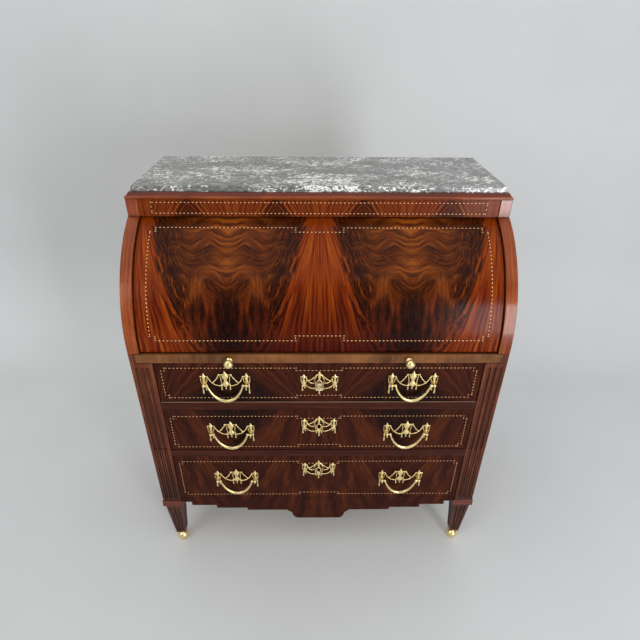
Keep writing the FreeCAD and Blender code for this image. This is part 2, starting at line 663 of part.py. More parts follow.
def handle_plate(x, y, z):
    """Backplate of a bail handle with the two posts that carry the bail."""
    plate = garland(x, y, z, MIDDLE_PLAQUE, END_PLAQUE, BAIL_HALF_SPAN, END_PLAQUE_BELOW)
    length = BAIL_STAND_OFF + BAIL_POST / 2
    pin_z = z - BAIL_BELOW
    roots = [V(x + sign * BAIL_HALF_SPAN, y, pin_z) for sign in (1, -1)]
    posts = [Part.makeCylinder(BAIL_POST / 2, length, root, V(0, -1, 0)) for root in roots]
    reach = BAIL_HALF_SPAN + BAIL_POST
    hole_start = V(x - reach, y - BAIL_STAND_OFF, pin_z)
    hole = Part.makeCylinder(BAIL_PIN / 2 + BAIL_FIT, 2 * reach, hole_start, V(1, 0, 0))
    return plate.multiFuse(posts).removeSplitter().cut(hole)


def bail(x, y, z):
    """Hanging crescent bail with a pin at each end."""
    pivot_point = V(x, y - BAIL_STAND_OFF, z)
    front = pivot_point - V(0, BAIL_THICK / 2, 0)
    out_x = BAIL_TOP_HALF
    in_x = out_x - BAIL_END_WIDTH

    def swag(half, drop):
        """Curve that hangs from half to the right to half to the left, its lowest point drop below."""
        pull = BAIL_SLOPE * half
        curve = Part.BezierCurve()
        curve.setPoles([front + V(x_, 0, z_) for x_, z_ in
                        ((half, 0), (pull, -drop / 0.75), (-pull, -drop / 0.75), (-half, 0))])
        return curve

    crescent = face_of(
        swag(out_x, BAIL_DROP),
        Part.LineSegment(front + V(-out_x, 0, 0), front + V(-in_x, 0, 0)),
        swag(in_x, BAIL_DROP - BAIL_MIDDLE_WIDTH),
        Part.LineSegment(front + V(in_x, 0, 0), front + V(out_x, 0, 0)),
    ).extrude(V(0, BAIL_THICK, 0))
    ends = []
    for sign in (1, -1):
        outward = V(sign, 0, 0)
        eye = Part.makeCylinder(BAIL_EYE / 2, BAIL_END_WIDTH, pivot_point + outward * in_x, outward)
        pin_length = BAIL_HALF_SPAN + BAIL_POST / 2 - in_x
        ends += [eye, Part.makeCylinder(BAIL_PIN / 2, pin_length, pivot_point + outward * in_x, outward)]
    return crescent.multiFuse(ends).removeSplitter()


def escutcheon(y, z):
    """Keyhole plate with the same draped ropes as the handles."""
    plate = garland(0, y, z, ESCUTCHEON_PLAQUE, ESCUTCHEON_END, ESCUTCHEON_HALF_SPAN)
    return plate.cut(keyhole(y - ROPE - PLATE_THICK, y, z))


def build_drawer(drawer, bottom_z):
    """One drawer: veneered front, box, brass plates, lock and its two bails."""
    top_z = bottom_z + drawer.opening
    front_y, back_of_front = drawer.set_back, drawer.set_back + FRONT_THICK
    front_half = opening_half - FRONT_GAP
    front = box(-front_half, front_half, front_y, back_of_front, bottom_z + FRONT_GAP, top_z - FRONT_GAP)
    front = eased(front, FRONT_ARRIS, on_front(front_y))
    key_z = bottom_z + drawer.key_rise
    save(f"{drawer.name}_front", front.cut(keyhole(front_y, back_of_front, key_z)))

    end_y = back_y - BOX_END_ROOM
    low, high = bottom_z + RUNNING_GAP, top_z - BOX_TOP_DROP
    inner = box_half - BOX_SIDE
    sides = both_sides(box(inner, box_half, back_of_front, end_y, low, high))
    back = box(-inner, inner, end_y - BOX_BACK, end_y, low, high)
    floor_low = low + BOX_BOTTOM_RISE
    floor = box(-inner, inner, back_of_front, end_y - BOX_BACK, floor_low, floor_low + BOX_BOTTOM)
    save(f"{drawer.name}_box", *sides, back, floor)
    save(f"{drawer.name}_lock", *drawer_lock(back_of_front, key_z, top_z - FRONT_GAP))

    plate_z = bottom_z + drawer.plate_rise
    places = (-HANDLE_SPACING / 2, HANDLE_SPACING / 2)
    plates = [handle_plate(x, front_y, plate_z) for x in places]
    save(f"{drawer.name}_brass_plates", *plates, escutcheon(front_y, key_z))
    for side, x in zip(("left", "right"), places):
        save(f"{drawer.name}_{side}_bail", bail(x, front_y, plate_z - BAIL_BELOW))
    if drawer is DRAWERS[-1]:
        save("drawer_key", key(back_of_front, key_z))


def build_stand():
    """Feet, legs, collars, posts and the fixed boards of the lower body."""
    post_x = half - POST / 2
    corners = [(sx * post_x, y) for y in (POST / 2, depth - POST / 2) for sx in (-1, 1)]
    save("brass_feet", *[foot(x, y) for x, y in corners])
    save("legs", *[leg(x, y) for x, y in corners])
    save("front_posts", *both_sides(front_post()))
    save("rear_posts", *both_sides(box(opening_half, half, rear_post_y, depth, base_z, body_top_z)))

    side_in = half - SIDE_THICK
    sides = both_sides(box(side_in, half, POST, rear_post_y, body_bottom_z, body_top_z))
    save("side_panels", *sides)
    back = box(-opening_half, opening_half, back_y, back_y + BACK_THICK, body_bottom_z, body_top_z)
    save("lower_back_panel", back)
    front_apron = apron()
    save("apron", front_apron)

    runner_low = floor_z - RUNNER_HEIGHT
    bottom_front = APRON_INSET + APRON_THICK
    bottom_z = runner_low - BOTTOM_THICK
    bottom = box(-opening_half, opening_half, bottom_front, back_y, bottom_z, runner_low)
    bottom = bottom.fuse(box(-side_in, side_in, POST, rear_post_y, bottom_z, runner_low)).removeSplitter()
    save("bottom_board", bottom)
    partitions = both_sides(box(partition_in, partition_out, POST, rear_post_y, runner_low, partition_top_z))
    save("drawer_partitions", *partitions)

    rails, runners, dust_boards = [], [], []
    level = floor_z
    runner_in = partition_in - RUNNER_WIDTH
    for drawer in DRAWERS:
        runners += both_sides(box(runner_in, partition_in, POST, rear_post_y, level - RUNNER_HEIGHT, level))
        top = level + drawer.opening
        if drawer.rail:
            level = top + drawer.rail
            rail = box(-opening_half, opening_half, 0, POST, top, level)
            rails.append(eased(rail, ARRIS, on_front(0, upright=False)))
            dust_top = level - RUNNER_HEIGHT / 2 + DUST_THICK / 2
            dust_boards.append(box(-runner_in, runner_in, POST, back_y, dust_top - DUST_THICK, dust_top))
    save("drawer_rails", *rails)
    save("drawer_runners", *runners)
    bed = box(-partition_in, partition_in, POST, rear_post_y, post_top_z - BED_THICK, post_top_z)
    save("dust_boards", *dust_boards, bed)

    neighbours = [front_apron, back, bottom, *sides, *partitions, *runners]
    save("leg_collars", *[collar(x, y, neighbours) for x, y in corners])


def build_slide():
    """Writing slide with its lip, leather, knobs and brackets, and the guides beside it."""
    lip_half = half - POST_EAR - SLIDE_LIP_END_GAP
    lip = box(-lip_half, lip_half, 0, SLIDE_LIP_DEPTH, slide_lip_z, slide_top_z)
    save("slide_front", eased(lip, ARRIS, on_front(0, upright=False)))
    save("slide_board", slide_board())
    save("slide_leather", leather_panel(LEATHER_THICK))
    save("slide_knobs", slide_knob(-KNOB_SPACING / 2), slide_knob(KNOB_SPACING / 2))
    save("slide_brackets", *both_sides(bracket()))
    inner, outer = bracket_out + GUIDE_GAP, half - SIDE_THICK
    front_stretch = (GUIDE_START, pivot_y - LEVER_WELL / 2)
    rear_stretch = (pivot_y + LEVER_WELL / 2, rear_post_y)
    guides = []
    for y0, y1 in (front_stretch, rear_stretch):
        guides += both_sides(box(inner, outer, y0, y1, body_top_z - GUIDE_HEIGHT, body_top_z))
    save("slide_guides", *guides)


def build_fall():
    """Quarter-round fall, the levers fixed to its ends and the pivots that carry them."""
    reach = cheek_in - FALL_END_GAP
    shell = round_strip(fall_in_r, fall_out_r, fall_sill_angle, FALL_TOP_ANGLE, -reach, reach)
    sill = on_round(fall_out_r, fall_sill_angle, 0)
    save("fall_shell", eased(shell, ARRIS, on_front(sill.y)))
    save("fall_levers", *both_sides(lever()))
    save("fall_pivots", *both_sides(pivot()))


def build_top():
    """Cheeks, frieze, top moulding, top board, marble and the upper back."""
    save("cheeks", *both_sides(cheek()))
    save("frieze_panel", box(-cheek_in, cheek_in, frieze_y, frieze_y + FRIEZE_THICK, frieze_z, frieze_top_z))
    block = box(cheek_in, half, block_y, block_y + BLOCK_DEPTH, frieze_z, frieze_top_z)
    save("frieze_blocks", *both_sides(eased(block, ARRIS, on_front(block_y, level=False))))
    front, side = cornice()
    save("cornice_front", front)
    save("cornice_sides", *both_sides(side))
    inset = CORNICE_WIDTH - CORNICE_PROUD
    reach = cornice_half - inset
    save("top_board", box(-reach, reach, block_y + inset, depth, frieze_top_z, cornice_top_z))
    save("marble_top", marble())
    save("upper_back_panel", box(-cheek_in, cheek_in, back_y, back_y + BACK_THICK, body_top_z, frieze_top_z))


def build_nest():
    """Nest of small drawers under pigeonholes, set behind the writing surface."""
    nest_half = lever_in - NEST_SIDE_GAP
    inner = nest_half - NEST_BOARD
    front_y, end_y = pivot_y - NEST_FRONT_ROOM, back_y
    wing_y = pivot_y + LEVER_WELL / 2
    floor_top = body_top_z + NEST_BOARD
    shelf_z = floor_top + NEST_DRAWER_HEIGHT
    sweep = fall_in_r - NEST_SWEEP_GAP
    top_z = pivot_z + math.sqrt(sweep ** 2 - (end_y - pivot_y) ** 2)

    floor = box(-nest_half, nest_half, front_y, end_y, body_top_z, floor_top)
    floor = floor.fuse(box(-cheek_in, cheek_in, wing_y, end_y, body_top_z, floor_top)).removeSplitter()
    shelf = box(-inner, inner, front_y, end_y - NEST_BACK_THICK, shelf_z, shelf_z + NEST_BOARD)
    top = box(-nest_half, nest_half, front_y, end_y, top_z - NEST_BOARD, top_z)
    save("nest_boards", floor, shelf, top)
    save("nest_sides", *both_sides(box(inner, nest_half, front_y, end_y, floor_top, top_z - NEST_BOARD)))
    save("nest_back", box(-inner, inner, end_y - NEST_BACK_THICK, end_y, floor_top, top_z - NEST_BOARD))

    def dividers(bays, low, high):
        bay = (2 * inner - (bays - 1) * NEST_BOARD) / bays
        starts = [-inner + i * (bay + NEST_BOARD) for i in range(bays)]
        walls = [box(x - NEST_BOARD, x, front_y, end_y - NEST_BACK_THICK, low, high) for x in starts[1:]]
        return bay, starts, walls

    _, _, hole_walls = dividers(NEST_PIGEONHOLES, shelf_z + NEST_BOARD, top_z - NEST_BOARD)
    bay, starts, drawer_walls = dividers(len(NEST_DRAWERS), floor_top, shelf_z)
    save("nest_dividers", *hole_walls, *drawer_walls)

    for name, start in zip(NEST_DRAWERS, starts):
        x0, x1 = start + NEST_DRAWER_GAP, start + bay - NEST_DRAWER_GAP
        low, high = floor_top + RUNNING_GAP, shelf_z - NEST_DRAWER_GAP
        tray = box(x0, x1, front_y, end_y - NEST_BACK_THICK - NEST_BOARD, low, high)
        room = box(x0 + NEST_DRAWER_WALL, x1 - NEST_DRAWER_WALL, front_y + NEST_BOARD,
                   end_y - NEST_BACK_THICK - NEST_BOARD - NEST_DRAWER_WALL, low + NEST_DRAWER_FLOOR, high)
        save(f"nest_drawer_{name}", tray.cut(room))
        middle = V((x0 + x1) / 2, front_y, (low + high) / 2)
        save(f"nest_knob_{name}", turned(NEST_KNOB_PROFILE, middle, V(0, -1, 0)))


os.makedirs("parts", exist_ok=True)
build_stand()
drawer_bottom = floor_z
for drawer_row in DRAWERS:
    build_drawer(drawer_row, drawer_bottom)
    drawer_bottom += drawer_row.opening + drawer_row.rail
build_slide()
build_fall()
build_top()
build_nest()
print(f"middle of the footprint {mid_depth:.3f} mm behind the posts' front")
print(f"pivot line at y {pivot_y - mid_depth:.3f}, z {pivot_z:.3f}")
print(f"fall rolls {fall_travel:.3f} degrees while the slide travels {slide_travel:.3f} mm")
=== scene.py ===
"""Cylinder bureau with a marble top: finishes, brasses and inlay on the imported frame.

All sizes are in millimetres, measured on the body: x from the middle, y back from the front of the posts,
z up from the floor. The function row turns them to the frame's metres.
"""

import json
import logging
import math
from collections.abc import Callable, Iterable, Mapping, Sequence
from dataclasses import dataclass
from enum import Enum
from functools import partial
from typing import Any

import bmesh
import bpy
from mathutils import Matrix, Vector

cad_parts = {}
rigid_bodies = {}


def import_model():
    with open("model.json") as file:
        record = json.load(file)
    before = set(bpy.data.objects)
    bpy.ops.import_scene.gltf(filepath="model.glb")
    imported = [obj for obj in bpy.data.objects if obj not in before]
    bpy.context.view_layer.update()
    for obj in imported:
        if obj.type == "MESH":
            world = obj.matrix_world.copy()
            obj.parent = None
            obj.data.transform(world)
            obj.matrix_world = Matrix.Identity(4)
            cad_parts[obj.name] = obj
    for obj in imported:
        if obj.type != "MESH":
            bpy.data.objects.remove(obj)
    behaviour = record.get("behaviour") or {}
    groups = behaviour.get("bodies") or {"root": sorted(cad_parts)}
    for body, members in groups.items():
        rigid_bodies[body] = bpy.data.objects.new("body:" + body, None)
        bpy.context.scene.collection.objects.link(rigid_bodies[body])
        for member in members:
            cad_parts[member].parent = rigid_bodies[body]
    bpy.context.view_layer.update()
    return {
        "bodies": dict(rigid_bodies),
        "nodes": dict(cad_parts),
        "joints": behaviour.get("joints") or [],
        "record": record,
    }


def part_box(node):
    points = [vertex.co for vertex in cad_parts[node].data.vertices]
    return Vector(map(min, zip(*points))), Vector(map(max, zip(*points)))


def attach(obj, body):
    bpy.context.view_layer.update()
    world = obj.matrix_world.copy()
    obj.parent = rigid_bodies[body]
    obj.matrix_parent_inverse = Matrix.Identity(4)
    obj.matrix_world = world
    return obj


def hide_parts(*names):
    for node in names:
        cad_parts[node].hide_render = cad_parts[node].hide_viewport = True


log = logging.getLogger("bureau")

MM = 0.001
MIDDLE_OF_DEPTH = 246.25
OUTWARD = Vector((0.0, -1.0, 0.0))
UPWARD = Vector((0.0, 0.0, 1.0))

# The fall turns about this line, given by its y and z, and its outer face has this radius
FALL_AXIS = (326.0, 805.0)
FALL_RADIUS = 317.0

# A flat face counts as the round of a line this far behind it, in metres
FAR = 1.0e4

# Where a wood's dark, middle and light tones lie in its grain, the tones of boards seen from the side,
# and the rays that look for sheltered corners
TONE_STEPS = (0.34, 0.50, 0.66)
SIDE_TONES = ("#4A1E0E", "#683019", "#824322")
SHELTER_RAYS = 8

Node = bpy.types.Node
Socket = bpy.types.NodeSocket
Tree = bpy.types.NodeTree
Piece = bpy.types.Object
Put = Callable[..., Node]
Tones = tuple[str, str, str]
Pair = tuple[float, float]


class Grain(Enum):
    """The way a board's grain runs."""

    ACROSS = 0
    BACK = 1
    UP = 2


def row(x: float, y: float, z: float) -> Vector:
    """Point of the frame, in metres, for a point of the body in millimetres."""
    return Vector((x, y - MIDDLE_OF_DEPTH, z)) * MM


def per(size: float) -> float:
    """Scale of a pattern with one feature in this many millimetres."""
    return 1 / (size * MM)


def linear(colour: str) -> tuple[float, float, float, float]:
    """Linear RGBA of an sRGB hex colour.

    Args:
        colour: six hex digits after a hash.

    Returns:
        Red, green, blue and full opacity, as Blender's sockets take them.
    """
    parts = [int(colour[i:i + 2], 16) / 255 for i in (1, 3, 5)]
    red, green, blue = (p / 12.92 if p <= 0.04045 else ((p + 0.055) / 1.055) ** 2.4 for p in parts)
    return red, green, blue, 1.0


def add(tree: Tree, kind: str, links: Sequence[Any] | Mapping[str, Any] = (), operation: str = "",
        stops: Iterable[tuple[float, str]] = (), **settings: Any) -> Node:
    """Adds a node with its settings and its links.

    Args:
        tree: the tree that gets the node.
        kind: the node's type name, without ShaderNode where it starts so.
        links: values, sockets or nodes for the inputs in use, in order or by name; None leaves one alone.
        operation: what a maths node does.
        stops: places and hex colours of a colour ramp.
        settings: other attributes of the node.

    Returns:
        The new node.
    """
    node = tree.nodes.new(kind if "Node" in kind else "ShaderNode" + kind)
    if operation:
        node.operation = operation
    for name, value in settings.items():
        setattr(node, name, value)
    for i, (place, colour) in enumerate(stops):
        elements = node.color_ramp.elements
        element = elements[i] if i < len(elements) else elements.new(place)
        element.position, element.color = place, linear(colour)
    in_use = [socket for socket in node.inputs if socket.enabled]
    for key, value in links.items() if isinstance(links, Mapping) else enumerate(links):
        socket = node.inputs[key] if isinstance(key, str) else in_use[key]
        source = next(s for s in value.outputs if s.enabled) if isinstance(value, Node) else value
        if isinstance(source, Socket):
            tree.links.new(source, socket)
        elif source is not None:
            socket.default_value = source
    return node


# ---- finishes ----


@dataclass(frozen=True)
class Finish:
    """A surface: how it was made, and the nodes that show it."""

    name: str

    def shade(self, put: Put, place: Socket) -> Node:
        """Adds the nodes of this finish.

        Args:
            put: adds a node to the material.
            place: the piece's own coordinates.

        Returns:
            The shader node.
        """
        raise NotImplementedError

    def make(self) -> bpy.types.Material:
        """Builds the material the first time it is asked for.

        Returns:
            The material.
        """
        if self not in MADE:
            MADE[self] = bpy.data.materials.new(self.name)
            MADE[self].use_nodes = True
            tree = MADE[self].node_tree
            tree.nodes.clear()
            put = partial(add, tree)
            put("OutputMaterial", {"Surface": self.shade(put, put("TexCoord").outputs["Object"])})
        return MADE[self]


# The material made for each finish
MADE: dict[Finish, bpy.types.Material] = {}


@dataclass(frozen=True)
class PlainWood(Finish):
    """Straight-grained wood, planed along its run and French polished, waxed or left bare.

    Long soft streaks of colour follow the run, with fine dark pores as short dashes in the same direction.
    """

    run: Grain
    tones: Tones
    roughness: float = 0.34
    coat: float = 0.25
    streak_width: float = 5.0
    streak_length: float = 260.0
    pore_width: float = 0.9
    pore_length: float = 11.0
    dust_and_shade: float = 0.75
    cloud_share: float = 0.28
    cloud: float = 90.0
    round_about: Pair | None = None
    edge_between: Pair = (465.3, 494.7)
    flat_tones: Tones = SIDE_TONES
    # Heights between which painted shade comes in, and its tint
    shade_between: Pair | None = None
    shade_tint: str = "#B08A80"
    wax_and_shade: str = "#120705"

    def along(self, width: float, length: float) -> tuple[float, ...]:
        """Scale of a pattern that is this wide across the run and this long along it, in millimetres."""
        return tuple(per(length if axis == self.run.value else width) for axis in range(3))

    def bend(self, put: Put, place: Socket) -> tuple[Node, Node]:
        """Bends the run of a board that was sawn to a round.

        Args:
            put: adds a node to the material.
            place: the piece's coordinates.

        Returns:
            1 on the board's edge and 0 on its flat faces, and coordinates that follow the round on the edge.
        """
        spoke = put("VectorMath", (place, row(0.0, *self.round_about)), "SUBTRACT")
        x, y, z = put("SeparateXYZ", (spoke,)).outputs
        radius = put("VectorMath", (put("CombineXYZ", (y, z)),), "LENGTH")
        back = put("Math", (y, -1.0), "MULTIPLY")
        turn = put("Math", (z, back), "ARCTAN2")
        arc = put("Math", (turn, FALL_RADIUS * MM), "MULTIPLY")
        rounded = put("CombineXYZ", (x, radius, arc))
        inner, outer = self.edge_between
        out = put("Math", (x,), "ABSOLUTE")
        edge = put("Math", (out, (inner + outer) / 2 * MM, (outer - inner) / 2 * MM), "COMPARE")
        return edge, put("Mix", (edge, place, rounded), data_type="RGBA")

    def shade(self, put: Put, place: Socket) -> Node:
        """Polish over streaks and pores.

        Args:
            put: adds a node to the material.
            place: the piece's own coordinates.

        Returns:
            The shader node.
        """
        edge, place = self.bend(put, place) if self.round_about else (None, place)
        drift = put("TexNoise", (place, per(self.cloud), 2.0))
        long_place = put("VectorMath", (place, self.along(self.streak_width, self.streak_length)), "MULTIPLY")
        wander = put("VectorMath", (drift.outputs["Color"], 1.6), "SCALE")
        bent = put("VectorMath", (long_place, wander), "ADD")
        streaks = put("TexNoise", (bent, 1.0, 4.0, 0.6))
        blend = put("Math", (streaks, 1 - self.cloud_share), "MULTIPLY")
        tone = put("Math", (drift, self.cloud_share, blend), "MULTIPLY_ADD")
        colour = put("ValToRGB", (tone,), stops=zip(TONE_STEPS, self.tones))
        if edge:
            flat = put("ValToRGB", (tone,), stops=zip(TONE_STEPS, self.flat_tones))
            colour = put("Mix", (edge, flat, colour), data_type="RGBA")
        pore_place = put("VectorMath", (place, self.along(self.pore_width, self.pore_length)), "MULTIPLY")
        pores = put("TexNoise", (pore_place, 1.0, 1.0))
        pore = put("MapRange", (pores, 0.60, 0.70, 0.0, 0.55))
        worn = put("Mix", (pore, colour, linear(self.tones[0])), data_type="RGBA")
        # Old wax and dust, and painted shade, darken flutes, corners and the gaps between parts
        shelter = put("AmbientOcclusion", {"Distance": 12 * MM}, samples=SHELTER_RAYS).outputs["AO"]
        dust_and_shade_share = put("MapRange", (shelter, 0.45, 0.95, self.dust_and_shade, 0.0))
        darkened_colour = put("Mix", (dust_and_shade_share, worn, linear(self.wax_and_shade)), data_type="RGBA")
        if self.shade_between:
            # Painted shade: the colour is darker from one height to another, as under the marble's edge and
            # low on the posts
            start, end = self.shade_between
            height = put("SeparateXYZ", (place,)).outputs["Z"]
            shade_share = put("MapRange", (height, start * MM, end * MM))
            darkened_colour = put("Mix", (shade_share, darkened_colour, linear(self.shade_tint)), data_type="RGBA", blend_type="MULTIPLY")
        rough = put("MapRange", (streaks, 0.3, 0.7, self.roughness - 0.04, self.roughness + 0.06))
        dent = put("Bump", {"Strength": 0.12, "Distance": 0.2 * MM, "Height": pores}, invert=True)
        return put("BsdfPrincipled", {
            "Base Color": darkened_colour, "Roughness": rough, "Normal": dent, "IOR": 1.5, "Specular IOR Level": 0.10,
            "Coat Weight": self.coat, "Coat Roughness": 0.12})


class Figure(Enum):
    """How the grain lies in a patch of crotch veneer."""

    BANDS = 0
    CURTAIN = 1


@dataclass(frozen=True)
class Patch:
    """A patch of a veneer leaf: its grain, its middle and half size in millimetres, and its tones."""

    grain: Figure
    middle: Pair
    half: Pair
    tones: Tones


@dataclass(frozen=True)
class FlameVeneer(Finish):
    """Crotch mahogany veneer in book-matched leaves, French polished.

    Orange streaks leave a point above or below and bend apart like a fountain, a dark feather of fine hairs
    borders them, and patches of wavy bands and of hanging curtains fill the crotch where two leaves meet.
    """

    leaf_width: float = 233.0
    apex: float = 535.0
    hangs: bool = True
    flare: tuple[float, float, float] = (0.165, 2.0, 6.0)
    ray_drop: float = 0.0
    tooth: float = 0.0
    tooth_pitch: float = 62.0
    tooth_lean: float = 1.8
    round_about: tuple[float, float, float] | None = None
    patches: tuple[Patch, ...] = ()
    fan: Tones = ("#481203", "#7C2C05", "#A64F10")
    feather: Tones = ("#220A03", "#441804", "#96480F")
    low_from: Pair = (200.0, 0.0)
    low_tint: str = "#8C584C"
    sway: float = 0.03
    streaks: float = 52.0
    cloud: float = 55.0
    band_pitch: float = 18.0
    ripple_pitch: float = 88.0
    fold_pitch: float = 11.0

    def shade(self, put: Put, place: Socket) -> Node:
        """Polish over the fan, the feather and the patches.

        Args:
            put: adds a node to the material.
            place: the piece's own coordinates.

        Returns:
            The shader node.
        """
        x, y, z = put("SeparateXYZ", (place,)).outputs
        leaf = put("Math", (x, self.leaf_width * MM), "PINGPONG")
        height: Any = z
        if self.round_about:
            axis_y, axis_z, radius = self.round_about
            back = put("Math", ((axis_y - MIDDLE_OF_DEPTH) * MM, y), "SUBTRACT")
            rise = put("Math", (z, axis_z * MM), "SUBTRACT")
            turn = put("Math", (rise, back), "ARCTAN2")
            height = put("Math", (turn, radius * MM), "MULTIPLY")
        sign = 1.0 if self.hangs else -1.0
        from_point = put("Math", (height, -sign, sign * self.apex * MM), "MULTIPLY_ADD")
        below = put("Math", (from_point, 4 * MM), "MAXIMUM")
        flat = put("CombineXYZ", (leaf, height))
        cloud = put("TexNoise", (flat, per(self.cloud), 2.0))
        # Share of the fan's half width, which widens evenly from its point and kicks out at its foot
        slope, kick, kick_power = self.flare
        kicked = put("Math", (below, kick_power), "POWER")
        foot = put("Math", (kicked, kick), "MULTIPLY")
        fan_width = put("Math", (below, slope, foot), "MULTIPLY_ADD")
        even_share = put("Math", (leaf, fan_width), "DIVIDE")
        share = put("Math", (cloud, 0.10, even_share), "MULTIPLY_ADD")
        # Streaks are straight rays from a point of their own, so they cross the border and end there
        under_rays = put("Math", (below, self.ray_drop * MM), "SUBTRACT")
        ray = put("Math", (leaf, under_rays), "ARCTAN2")
        bent = put("Math", (cloud, self.sway, ray), "MULTIPLY_ADD")
        around = put("Math", (bent, self.streaks), "MULTIPLY")
        along = put("Math", (below, 6.0), "MULTIPLY")
        fan_streaks = put("TexNoise", (put("CombineXYZ", (around, along)), 1.0, 4.0, 0.6))
        fan_colour = put("ValToRGB", (fan_streaks,), stops=zip((0.33, 0.50, 0.68), self.fan))
        # Feather: fine hairs that follow the fountain and end raggedly
        fountain = put("Math", (share, 17.0), "MULTIPLY")
        hair_across = put("Math", (cloud, 7.0, fountain), "MULTIPLY_ADD")
        hair_along = put("Math", (below, 22.0), "MULTIPLY")
        hairs = put("TexNoise", (put("CombineXYZ", (hair_across, hair_along, 4.0)), 1.3, 4.0, 0.6))
        crotch = put("ValToRGB", (hairs,), stops=zip((0.43, 0.56, 0.72), self.feather))
        # Bands dip where two leaves meet and ripple, more so further down
        from_join = put("Math", (self.leaf_width * MM, leaf), "SUBTRACT")
        ripple_angle = put("Math", (from_join, 2 * math.pi * per(self.ripple_pitch)), "MULTIPLY")
        ripple = put("Math", (ripple_angle,), "COSINE")
        reach = put("MapRange", (height, 0.33, 0.18, 4 * MM, 16 * MM))
        rippled = put("Math", (ripple, reach, height), "MULTIPLY_ADD")
        cloudy = put("Math", (cloud, 45 * MM, rippled), "MULTIPLY_ADD")
        band_across = put("Math", (leaf, 9.0), "MULTIPLY")
        band_up = put("Math", (cloudy, per(self.band_pitch)), "MULTIPLY")
        bands = put("TexNoise", (put("CombineXYZ", (band_across, band_up)), 1.0, 4.0, 0.55))
        # Curtains: soft folds that hang straight down
        fold_across = put("Math", (leaf, per(self.fold_pitch)), "MULTIPLY")
        fold_sway = put("Math", (cloud, 2.5, fold_across), "MULTIPLY_ADD")
        fold_along = put("Math", (height, 12.0), "MULTIPLY")
        folds = put("TexNoise", (put("CombineXYZ", (fold_sway, fold_along, 9.0)), 1.0, 3.0, 0.6))
        for patch in self.patches:
            grain = bands if patch.grain is Figure.BANDS else folds
            colour = put("ValToRGB", (grain,), stops=zip((0.36, 0.50, 0.66), patch.tones))
            off = put("VectorMath", (flat, (patch.middle[0] * MM, patch.middle[1] * MM, 0.0)), "SUBTRACT")
            even = put("VectorMath", (off, (per(patch.half[0]), per(patch.half[1]), 0.0)), "MULTIPLY")
            far = put("VectorMath", (even,), "LENGTH")
            frayed = put("Math", (hairs, 1.2, far), "MULTIPLY_ADD")
            torn = put("Math", (cloud, 0.9, frayed), "MULTIPLY_ADD")
            inside = put("MapRange", (torn, 1.6, 2.4, 1.0, 0.0), interpolation_type="SMOOTHSTEP")
            crotch = put("Mix", (inside, crotch, colour), data_type="RGBA")
        # Bundles of streaks end in points, so the border is toothed like a fir
        lower = put("Math", (leaf, -self.tooth_lean, below), "MULTIPLY_ADD")
        step = put("Math", (lower, per(self.tooth_pitch)), "MULTIPLY")
        uneven_step = put("Math", (cloud, 1.6, step), "MULTIPLY_ADD")
        tooth = put("Math", (uneven_step,), "FRACT")
        toothed = put("Math", (tooth, -self.tooth, share), "MULTIPLY_ADD")
        ragged_share = put("Math", (hairs, 0.42, toothed), "MULTIPLY_ADD")
        edge = put("MapRange", (ragged_share, 1.16, 1.28), interpolation_type="SMOOTHSTEP")
        figure = put("Mix", (edge, fan_colour, crotch), data_type="RGBA")
        # The veneer is darker and redder towards its lower edge, except at its ends
        out = put("Math", (x,), "ABSOLUTE")
        strength = put("MapRange", (out, 0.24, 0.36, 1.0, 0.25), interpolation_type="SMOOTHSTEP")
        start, end = self.low_from
        low = put("MapRange", (height, start * MM, end * MM, 0.0, strength))
        darkened_colour = put("Mix", (low, figure, linear(self.low_tint)), data_type="RGBA", blend_type="MULTIPLY")
        dent = put("Bump", {"Strength": 0.04, "Distance": 0.2 * MM, "Height": fan_streaks})
        return put("BsdfPrincipled", {
            "Base Color": darkened_colour, "Roughness": 0.34, "Normal": dent, "IOR": 1.45, "Specular IOR Level": 0.02,
            "Coat Weight": 0.16, "Coat Roughness": 0.20})


@dataclass(frozen=True)
class GiltBrass(Finish):
    """Cast brass, chased and lacquered: pale gold on the high parts, olive tarnish and painted shade in the
    recesses.
    """

    bright: str = "#FBE2A2"
    tarnish_and_shade: str = "#86621F"
    roughness: float = 0.27

    def shade(self, put: Put, place: Socket) -> Node:
        """Polished metal, dulled where other parts shade it.

        Args:
            put: adds a node to the material.
            place: the piece's own coordinates.

        Returns:
            The shader node.
        """
        # Tarnish and painted shade: the metal turns to the darker tone where other parts hem it in
        shelter = put("AmbientOcclusion", {"Distance": 6 * MM}, samples=SHELTER_RAYS).outputs["AO"]
        mottle = put("TexNoise", (place, per(7.0), 3.0))
        open_share = put("Math", (mottle, 0.35, shelter), "MULTIPLY_ADD")
        colour = put("ValToRGB", (open_share,), stops=((0.5, self.tarnish_and_shade), (0.95, self.bright)))
        rough = put("MapRange", (mottle, 0.3, 0.7, self.roughness - 0.06, self.roughness + 0.1))
        # Chasing marks are finer than the render shows, so they are drawn 1.6 mm apart
        chasing = put("TexNoise", (place, per(1.6), 2.0))
        dent = put("Bump", {"Strength": 0.35, "Distance": 0.3 * MM, "Height": chasing})
        return put("BsdfPrincipled",
                   {"Base Color": colour, "Metallic": 1.0, "Roughness": rough, "Normal": dent})


@dataclass(frozen=True)
class ForgedIron(Finish):
    """Iron forged black and rubbed with oil: dark grey with a brown cast, slightly uneven."""

    def shade(self, put: Put, place: Socket) -> Node:
        """Dull metal with hammer marks about 9 mm across.

        Args:
            put: adds a node to the material.
            place: the piece's own coordinates.

        Returns:
            The shader node.
        """
        marks = put("TexNoise", (place, per(9.0), 3.0))
        colour = put("ValToRGB", (marks,), stops=((0.35, "#2B2826"), (0.65, "#4E4945")))
        dent = put("Bump", {"Strength": 0.3, "Distance": 0.5 * MM, "Height": marks})
        return put("BsdfPrincipled",
                   {"Base Color": colour, "Metallic": 0.85, "Roughness": 0.48, "Normal": dent})


